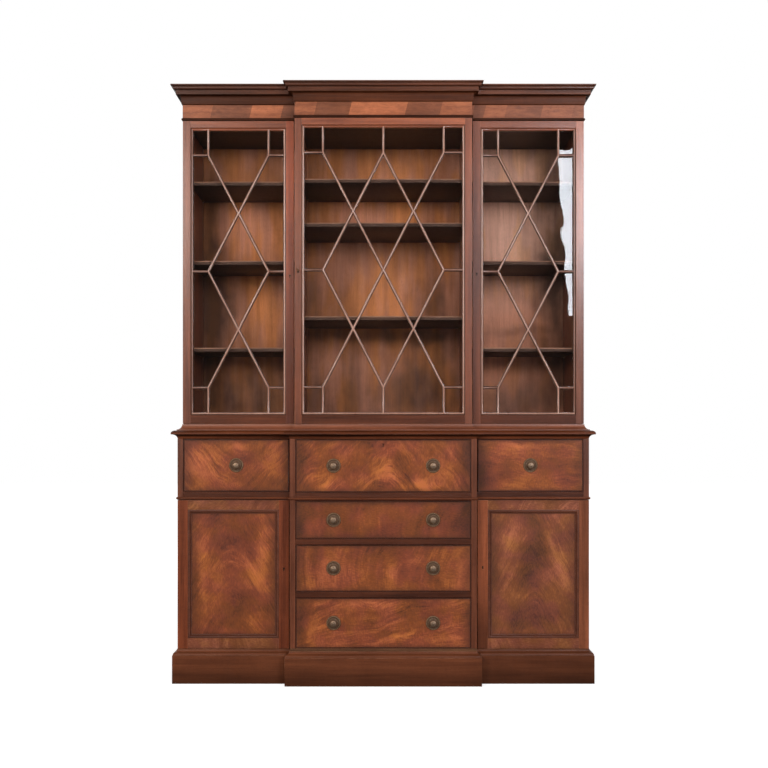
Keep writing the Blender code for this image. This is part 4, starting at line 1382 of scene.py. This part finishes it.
def drawer(name, front, veneer, keyhole=None):
    (x0, y0, z0), (x1, end, z1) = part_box(name)
    rim, lap, slab = z1 - side_drop, front + cock_depth, front + front_thickness
    inner = (x0 + side_thickness, x1 - side_thickness)
    section = trace((0.0, -cock_depth), (0.0, -cock_width / 2), ((cock_width / 2, 0.0), True, 5),
                    ((cock_width, -cock_width / 2), False, 5), (cock_width, -cock_depth))
    bead = rectangle_ring((x0, z0, x1, z1), section, front)
    piece(f"{name}_cock_bead", bead, name, cock_wood, [name])
    face_block = board(x0 + cock_width, x1 - cock_width, front + cock_rise, lap,
                       z0 + cock_width, z1 - cock_width, 0.0)
    if keyhole:
        face_block = carve(face_block, keyhole_prism(keyhole, front - 0.002, lap - 0.001))
        keyhole_lining(f"{name}_keyhole", keyhole, front + cock_rise, name)
    join_in(face_block, board(*inner, lap, slab, z0, z1, 0.00026))
    join_in(face_block, board(x0, x1, lap, slab, rim, z1, 0.00026))
    levels = tails(z0, rim, 3 if rim - z0 < 0.13 else 4)
    walls = bmesh.new()
    for outside, inside in zip((x0, x1), inner):
        outline = [(end, z0), (end, rim), (slab, rim)]
        for root_low, root_high, tip_low, tip_high in reversed(levels):
            outline += [(slab, root_high), (lap, tip_high), (lap, tip_low), (slab, root_low)]
        join_in(walls, side_slab(outline + [(slab, z0)], outside, inside))
        roots = [z0] + [z for level in levels for z in level[:2]] + [rim]
        tips = [z0] + [z for level in levels for z in level[2:]] + [rim]
        for n in range(0, len(roots), 2):
            pin = [(slab, roots[n]), (slab, roots[n + 1]), (lap, tips[n + 1]), (lap, tips[n])]
            join_in(face_block, side_slab(pin, outside, inside))

    def on_face(face):
        middle = face.calc_center_median()
        return 0 if face.normal.y < -0.9 and middle.y < lap - 0.001 else 1

    piece(f"{name}_front", soften(face_block, 0.0002, 60), name, [veneer, rail_wood], [name],
          choose=on_face)
    piece(f"{name}_sides", soften(walls, 0.0004, 60), name, drawer_side_wood, [name])
    lining, back = bmesh.new(), end - side_thickness
    join_in(lining, board(*inner, back, end, z0 + 0.008, rim - 0.006, 0.0008))
    join_in(lining, board(*inner, slab, back, z0 + 0.002, z0 + 0.008, 0.0002))
    piece(f"{name}_lining", lining, name, drawer_back_wood, [name])


print("drawer sides are", side_thickness * 1000, "mm thick")

# %% [markdown]
# The drawer fronts are cut from different parts of the crotch: some show a full flame, some
# only its streaks. The inside of a drawer is a pale wood that was never polished.

# %% Woods of the drawers
drawer_dark, drawer_light = (0.250, 0.140, 0.070), (0.480, 0.300, 0.165)
drawer_side_wood = straight_wood(
    "drawer_lining", "y", drawer_dark, drawer_light, 8.9, 1.6, sheen=0.6)
drawer_back_wood = straight_wood(
    "drawer_lining_level", "x", drawer_dark, drawer_light, 9.3, 1.6, sheen=0.6)
# the cock bead is nearly black: its own dark wood, darkened further as a painted shade of the joint
# round each drawer
cock_wood = straight_wood(
    "mahogany_cock_bead", "x", (0.025, 0.006, 0.003), (0.085, 0.024, 0.011), 14.9, wear=1.0,
    gloss=0.3)
drawer_leaves = {
    "wing_drawer_left": dict(
        seed=51.2, spine=(0.0, -0.05), steepness=-1.1, softness=0.04, bend=0.09, strength=0.8,
        patches=((-0.11, 0.0, 0.09, 0.07, 0, 0.20), (0.01, 0.065, 0.05, 0.02, 0, 0.18),
                 (0.12, -0.01, 0.05, 0.05, 0, 0.08), (0.17, -0.07, 0.04, 0.03, 0, -0.15))),
    "wing_drawer_right": dict(
        seed=57.9, spine=(-0.15, 0.0), steepness=0.12, softness=0.06, bend=0.07, strength=0.8,
        patches=((-0.17, -0.02, 0.05, 0.09, 0, -0.22), (-0.03, 0.07, 0.07, 0.02, 0, 0.22),
                 (-0.06, -0.06, 0.06, 0.03, 20, 0.20), (0.12, 0.0, 0.08, 0.06, 0, -0.06))),
    "centre_drawer_1": dict(
        seed=62.5, spine=(0.03, 0.0), turn=-8, steepness=1.2, softness=0.05, bend=0.12,
        strength=0.85,
        patches=((0.0, -0.02, 0.08, 0.05, 0, 0.34), (0.15, -0.065, 0.07, 0.02, 5, 0.25),
                 (-0.20, -0.06, 0.08, 0.03, 0, 0.16), (-0.29, 0.0, 0.03, 0.10, 0, -0.08),
                 (0.30, 0.05, 0.05, 0.08, 0, -0.22), (-0.05, 0.075, 0.12, 0.02, 0, -0.08))),
    "centre_drawer_2": dict(
        seed=68.1, turn=80, steepness=0.5, softness=0.05, bend=0.06, strength=0.55,
        patches=((0.0, 0.0, 0.60, 0.30, 0, -0.10), (-0.045, 0.0, 0.12, 0.05, 0, 0.10),
                 (-0.30, 0.0, 0.06, 0.10, 0, -0.20), (0.28, 0.0, 0.08, 0.10, 0, -0.12),
                 (0.0, 0.06, 0.20, 0.015, 0, -0.08))),
    "centre_drawer_3": dict(
        seed=73.6, turn=82, steepness=0.4, softness=0.06, bend=0.06, strength=0.6,
        patches=((0.02, -0.01, 0.06, 0.035, 60, 0.12), (0.12, 0.03, 0.05, 0.025, 20, 0.15),
                 (-0.26, -0.06, 0.05, 0.02, 0, 0.12), (-0.07, 0.0, 0.06, 0.08, 0, -0.07),
                 (0.18, -0.03, 0.03, 0.04, 0, -0.08))),
    "centre_drawer_4": dict(
        seed=79.3, spine=(-0.2, 0.0), turn=13, steepness=0.05, softness=0.08, bend=0.10,
        strength=0.95,
        patches=((0.04, -0.055, 0.16, 0.02, 12, 0.20), (-0.03, 0.06, 0.12, 0.025, 0, 0.13),
                 (-0.29, 0.0, 0.04, 0.10, 0, -0.20), (0.31, 0.0, 0.02, 0.10, 0, -0.15),
                 (-0.12, -0.01, 0.10, 0.02, 5, -0.08))),
}
for name, leaf in drawer_leaves.items():
    drawer(name, wing_y if name.startswith("wing") else centre_y,
           figured_wood(f"flame_{name}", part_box(name), **leaf),
           (0.0, 0.8525) if name == "centre_drawer_1" else None)
print(len(drawer_leaves), "drawers made")

# %% [markdown]
# Each pull is a round plate with a milled rim and a dish, and a turned knob in the middle
# of it. Both are solids of revolution, so one profile is spun about the pull's own axis.
# After the spin, every second point of the rim is lifted a little, which mills it.

# %% Pulls
# Each point's hollow value darkens the brass: patina, and also painted shade round the plate's
# edge, in the dish and below the knob's dome. The crest values brighten the knob's dome as a
# painted highlight.
pull_profile = (  # (radius, out) in millimetres and how hollow, or less than 0 for a crest
    (0.0, 0.0, 0), (25.3, 0.0, 1), (25.5, 0.4, 1), (25.5, 1.3, 1), (25.1, 1.9, 0.7),
    (24.3, 2.6, 0), (23.2, 3.1, -0.3), (22.2, 3.0, 0), (21.4, 2.4, 0.2), (20.9, 1.7, 0.6),
    (20.2, 1.35, 0.9), (18.0, 1.25, 0.9), (15.6, 1.45, 0.7), (14.4, 1.9, 0.4),
    (13.8, 2.5, 0.5), (13.0, 2.6, 0.8), (12.4, 2.1, 1), (10.2, 2.3, 1), (8.0, 3.4, 1),
    (6.8, 5.2, 1), (6.2, 7.6, 1), (6.1, 10.0, 1), (6.6, 12.0, 1), (7.6, 13.4, 1),
    (9.6, 14.8, 0.8), (11.4, 16.2, 0.6), (12.4, 17.8, 0.4), (12.5, 19.2, 0.2),
    (12.0, 20.6, 0), (10.8, 21.9, -0.3), (9.0, 22.9, -0.7), (6.8, 23.5, -1),
    (5.0, 23.7, -1), (4.5, 23.4, 0.3), (3.9, 23.5, -1), (2.6, 23.9, -1), (0.0, 24.0, -1),
)
mill_inside, mill_outside, mill_lift = 0.0222, 0.0244, 0.00022


def spin(body, geom, centre, steps):
    """Spins edges full circle about a line from front to back, and closes them."""
    bmesh.ops.spin(
        body, geom=geom, cent=centre, axis=(0, 1, 0), dvec=(0, 0, 0), angle=2 * math.pi,
        steps=steps, use_merge=True, use_normal_flip=False, use_duplicate=False,
    )
    bmesh.ops.remove_doubles(body, verts=body.verts, dist=1e-6)


def pull(name, mover, segments=64):
    """A pull over its CAD node, spun about the middle of that node."""
    centre, back = middle_of(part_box(name)), high(name).y
    body = bmesh.new()
    arris, hollow = mark_layers(body)
    row = []
    for radius, out, wear in pull_profile:
        vert = body.verts.new((centre.x + radius / 1000, back - out / 1000, centre.z))
        vert[arris], vert[hollow] = max(0.0, -wear), max(0.0, wear)
        row.append(vert)
    edges = [body.edges.new(pair) for pair in zip(row, row[1:])]
    spin(body, row + edges, (centre.x, 0, centre.z), segments)
    for vert in body.verts:
        across, up = vert.co.x - centre.x, vert.co.z - centre.z
        on_rim = mill_inside < math.hypot(across, up) < mill_outside
        if on_rim and vert.co.y < back - 0.002:
            step = round(math.atan2(up, across) / (2 * math.pi) * segments)
            vert.co.y += mill_lift if step % 2 else -mill_lift
    return piece(name + "_turned", body, mover, brass, [name])


for side, hand in sides:
    pull(f"pull_wing_{side}", f"wing_drawer_{side}")
    for number in (1, 2, 3, 4):
        pull(f"pull_centre_{number}_{side}", f"centre_drawer_{number}")
print("ten pulls, each spun from", len(pull_profile), "points")

# %% [markdown]
# Each door hangs on brass butt hinges. One leaf is let into the door and the other into the
# case, both flush, and the five barrels between them take turns: three belong to the case
# and two to the door. So each hinge is built as two halves about the joint's own axis, and
# the halves ride on different bodies. All that shows on a closed door is the knuckle.

# %% Barrels and screws
barrel_radius, barrel_gap, door_gap = 0.0026, 0.00015, 0.0005
leaf_width, leaf_thickness, leaf_proud = 0.0155, 0.0012, 0.00012
hinge_height, hinge_from_end = 0.060, 0.11


def barrel(x, y, bottom, top, radius=barrel_radius):
    """An upright pin with its ends rounded off."""
    body = bmesh.new()
    bmesh.ops.create_cone(body, cap_ends=True, segments=20, radius1=radius, radius2=radius,
                          depth=top - bottom)
    bmesh.ops.translate(body, verts=body.verts, vec=(x, y, (bottom + top) / 2))
    return soften(body, 0.0003, 50)


def lay(body, place, *turns):
    """Turns a body by (angle, axis) pairs, the last one first, and moves it."""
    matrix = Matrix.Translation(place)
    for angle, axis in turns:
        matrix = matrix @ Matrix.Rotation(angle, 4, axis)
    bmesh.ops.transform(body, matrix=matrix, verts=body.verts)
    return body


def screw_head(x, y, z, side, radius=0.0027, slot=0.0003):
    """A slotted screw head that lies nearly flush; side is 1 for +Y and -1 for -Y.

    Its slot's turn comes from its height, so that the slots stand every way.
    """
    body = bmesh.new()
    bmesh.ops.create_cone(body, cap_ends=True, segments=16, radius1=radius, radius2=radius * 0.9,
                          depth=0.0006)
    for offset in (-slot, slot):
        cut(body, (offset, 0, 0), (1, 0, 0))
    groove = [face for face in body.faces
              if face.normal.z > 0.9 and abs(face.calc_center_median().x) < slot / 2]
    made = bmesh.ops.extrude_face_region(body, geom=groove)
    bmesh.ops.translate(body, verts=new_points(made), vec=(0, 0, -0.0004))
    bmesh.ops.delete(body, geom=groove, context="FACES_ONLY")
    return lay(body, (x, y, z), (math.radians(-90 * side), "X"), (0.6 + z * 40, "Z"))


print("barrels are", barrel_radius * 2000, "mm thick")

# %% Hinges
def hang(door, axis_x, inward, count):
    """Hinges on a door's outer back corner, at equal steps up its edge."""
    corner_low, corner_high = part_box(f"{door}_frame")
    back = corner_high.y
    lowest, highest = corner_low.z + hinge_from_end, corner_high.z - hinge_from_end
    halves = bmesh.new(), bmesh.new()
    for number in range(count):
        middle = lowest + (highest - lowest) * number / (count - 1)
        bottom, pitch = middle - hinge_height / 2, hinge_height / 5
        for n in range(5):
            join_in(halves[(n + 1) % 2], barrel(axis_x, back, bottom + pitch * n + barrel_gap,
                                                bottom + pitch * (n + 1) - barrel_gap))
        x0, x1 = sorted((axis_x, axis_x + inward * leaf_width))
        for half, plane, side in zip(halves, (back, back + door_gap), (1, -1)):
            proud, deep = plane + side * leaf_proud, plane - side * leaf_thickness
            join_in(half, board(x0, x1, min(proud, deep), max(proud, deep), bottom,
                                bottom + hinge_height, 0.0002))
            for n, across in ((-1, 0.0105), (0, 0.0065), (1, 0.0105)):
                join_in(half, screw_head(axis_x + inward * across, proud - side * 0.0002,
                                         middle + n * hinge_height * 0.34, side))
    piece(f"{door}_hinges_door", halves[0], door, brass)
    piece(f"{door}_hinges_case", halves[1], "carcass", brass)


for side, hand in sides:
    hang(f"upper_door_{side}", hand * upper_half, -hand, 3)
    hang(f"lower_door_{side}", hand * base_half, -hand, 2)
hang("upper_door_centre", upper_centre_half, -1, 3)
print("hinges on five doors")

# %% [markdown]
# The key stands in the centre door's lock, its bow turned half round. The bow is a small
# ring spun from a circle and pressed a little oval; shank, collar and bow ride on the door.

# %% Key
def ring(radius, thickness, segments=40):
    """A ring about the X axis."""
    body = bmesh.new()
    made = bmesh.ops.create_circle(body, segments=12, radius=thickness)["verts"]
    bmesh.ops.translate(body, verts=made, vec=(radius, 0, 0))
    spin(body, made + body.edges[:], (0, 0, 0), segments)
    bmesh.ops.rotate(body, verts=body.verts, cent=(0, 0, 0),
                     matrix=Matrix.Rotation(math.pi / 2, 3, "Z"))
    return body


key = bmesh.new()
key_end = 0.0135
for bottom, top, radius in ((-0.006, key_end, 0.0014), (0.0015, 0.0028, 0.0024),
                            (0.0120, key_end, 0.0022)):
    join_in(key, barrel(0, 0, bottom, top, radius))
bow = ring(0.0072, 0.0012)
bmesh.ops.scale(bow, verts=bow.verts, vec=(1.0, 1.25, 0.95))
bmesh.ops.translate(bow, verts=bow.verts, vec=(0, 0, key_end + 0.0068))
join_in(key, bow)
lay(key, (-0.3025, upper_centre_y, 1.4695), (math.radians(90), "X"), (math.radians(40), "Z"))
key = piece("upper_door_centre_key", key, "upper_door_centre", brass)
print("key", len(key.data.polygons), "faces")

# %% [markdown]
# A shelf's front edge is rounded over at the top and eased below. The crest gets a lighter
# wood, a painted highlight, and the part below it is darker, a painted shade, as are the
# shelf's faces that look down.

# %% Shelves
def shelf(name, nose=0.0055, ease=0.0025):
    (x0, y0, z0), (x1, y1, z1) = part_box(name)
    outline = trace((y1, z0), (y1, z1), (y0 + nose, z1), ((y0, z1 - nose), False, 6))
    outline += quarter((y0, z0 + ease), (y0 + ease, z0), True, 4)
    body = side_slab(outline, x0, x1)
    arris, hollow = mark_layers(body)
    for vert in body.verts:
        if vert.co.y < y0 + nose:
            vert[arris] = 1.0 if vert.co.z > z1 - nose * 0.6 else 0.0
            # painted shade below the rounded nose
            vert[hollow] = 0.75 if vert.co.z < z1 - nose * 0.9 else 0.0

    def on_crest(face):
        return int(face.calc_center_median().y < y0 + nose and face.normal.z > 0.15)

    return piece(f"{name}_moulded", body, "carcass", [shelf_wood, nose_highlight_wood], [name],
                 choose=on_crest)


shelf_wood = straight_wood(
    "mahogany_shelf", "x", (0.070, 0.024, 0.012), (0.200, 0.075, 0.038), 7.1, wear=1.3,
    sheen=0.42, gloss=0.3, underside_shade=0.33)
nose_highlight_wood = straight_wood(
    "mahogany_shelf_nose_highlight", "x", (0.150, 0.062, 0.036), (0.400, 0.205, 0.135), 7.9)
shelves = [shelf(f"shelf_{bay}_{number}") for bay in ("left", "centre", "right")
           for number in (1, 2, 3)]
print(len(shelves), "shelves")

# %% [markdown]
# The shelves can be moved: each one lies on four brass pegs. A peg is a rod that goes into
# the wall of the bay and a small flat spoon on which the shelf rests.

# %% Shelf pegs
pegs = bmesh.new()
side_board, peg_from_edge, spoon_half = 0.020, 0.045, 0.0042
bays = (("left", -upper_half + side_board, low("upper_partition_left").x),
        ("centre", high("upper_partition_left").x, low("upper_partition_right").x),
        ("right", high("upper_partition_right").x, upper_half - side_board))
for bay, left_wall, right_wall in bays:
    for number in (1, 2, 3):
        shelf_low, shelf_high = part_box(f"shelf_{bay}_{number}")
        rest = shelf_low.z - 0.0001
        for wall_x, into in ((left_wall, 1), (right_wall, -1)):
            for y in (shelf_low.y + peg_from_edge, shelf_high.y - peg_from_edge):
                join_in(pegs, lay(barrel(0, 0, -0.003, 0.0090, 0.0022),
                                  (wall_x, y, rest - 0.0030), (math.radians(90 * into), "Y")))
                x0, x1 = sorted((wall_x + into * 0.0004, wall_x + into * 0.0100))
                join_in(pegs, board(x0, x1, y - spoon_half, y + spoon_half, rest - 0.0012,
                                    rest, 0.0003))
pegs = piece("shelf_pegs", pegs, "carcass", brass)
print("shelf pegs", len(pegs.data.polygons), "faces")

# %% [markdown]
# The boards that show their CAD shape keep it. They only get their wood, and a fine bevel
# modifier on the merged edges, because a board with knife-sharp edges looks like card.

# %% Boards of the carcass
side_wood = straight_wood("mahogany_side", "z", moulding_dark, frame_light, 4.1, contrast=2.9)
partition_wood = straight_wood(
    "mahogany_partition", "z", (0.070, 0.017, 0.006), (0.240, 0.070, 0.031), 3.3, gloss=0.35)
edge_wood = straight_wood(
    "mahogany_rail", "x", (0.035, 0.008, 0.003), (0.120, 0.031, 0.012), 5.3, gloss=0.3)
inner_dark, inner_light = (0.150, 0.056, 0.024), (0.520, 0.215, 0.095)
inner_upright = straight_wood(
    "inner_upright", "z", inner_dark, inner_light, 6.1, 2.9, 0.03, sheen=0.5, gloss=0.25)
# painted shade: the faces of these boards that look down are darkened
inner_level = straight_wood(
    "inner_level", "x", inner_dark, inner_light, 7.7, sheen=0.5, gloss=0.25, underside_shade=0.12,
    lipping=0.36)
boards = {
    side_wood: ["base_side_left", "base_side_right", "upper_side_left", "upper_side_right"],
    stile_wood: ["upper_partition_left", "upper_partition_right"],
    partition_wood: ["base_partition_left", "base_partition_right"],
    edge_wood: ["wing_mid_rail_left", "wing_mid_rail_right", "centre_mid_rail",
                "centre_rail_lower", "centre_rail_upper"],
    back_wood: ["upper_back"],
    inner_upright: ["base_back"],
    inner_level: ["base_bottom_board", "upper_bottom_board", "upper_top_board"],
}
for material, names in boards.items():
    for name in names:
        cover(name, material)
        modifiers = nodes[name].modifiers
        modifiers.new("merge", "WELD").merge_threshold = 1e-5
        bevel = modifiers.new("arris", "BEVEL")
        bevel.width, bevel.segments, bevel.limit_method = 0.0006, 2, "ANGLE"
        bevel.angle_limit = math.radians(40)
        modifiers.new("weighted", "WEIGHTED_NORMAL").keep_sharp = True
print("finished", sum(len(names) for names in boards.values()), "boards")
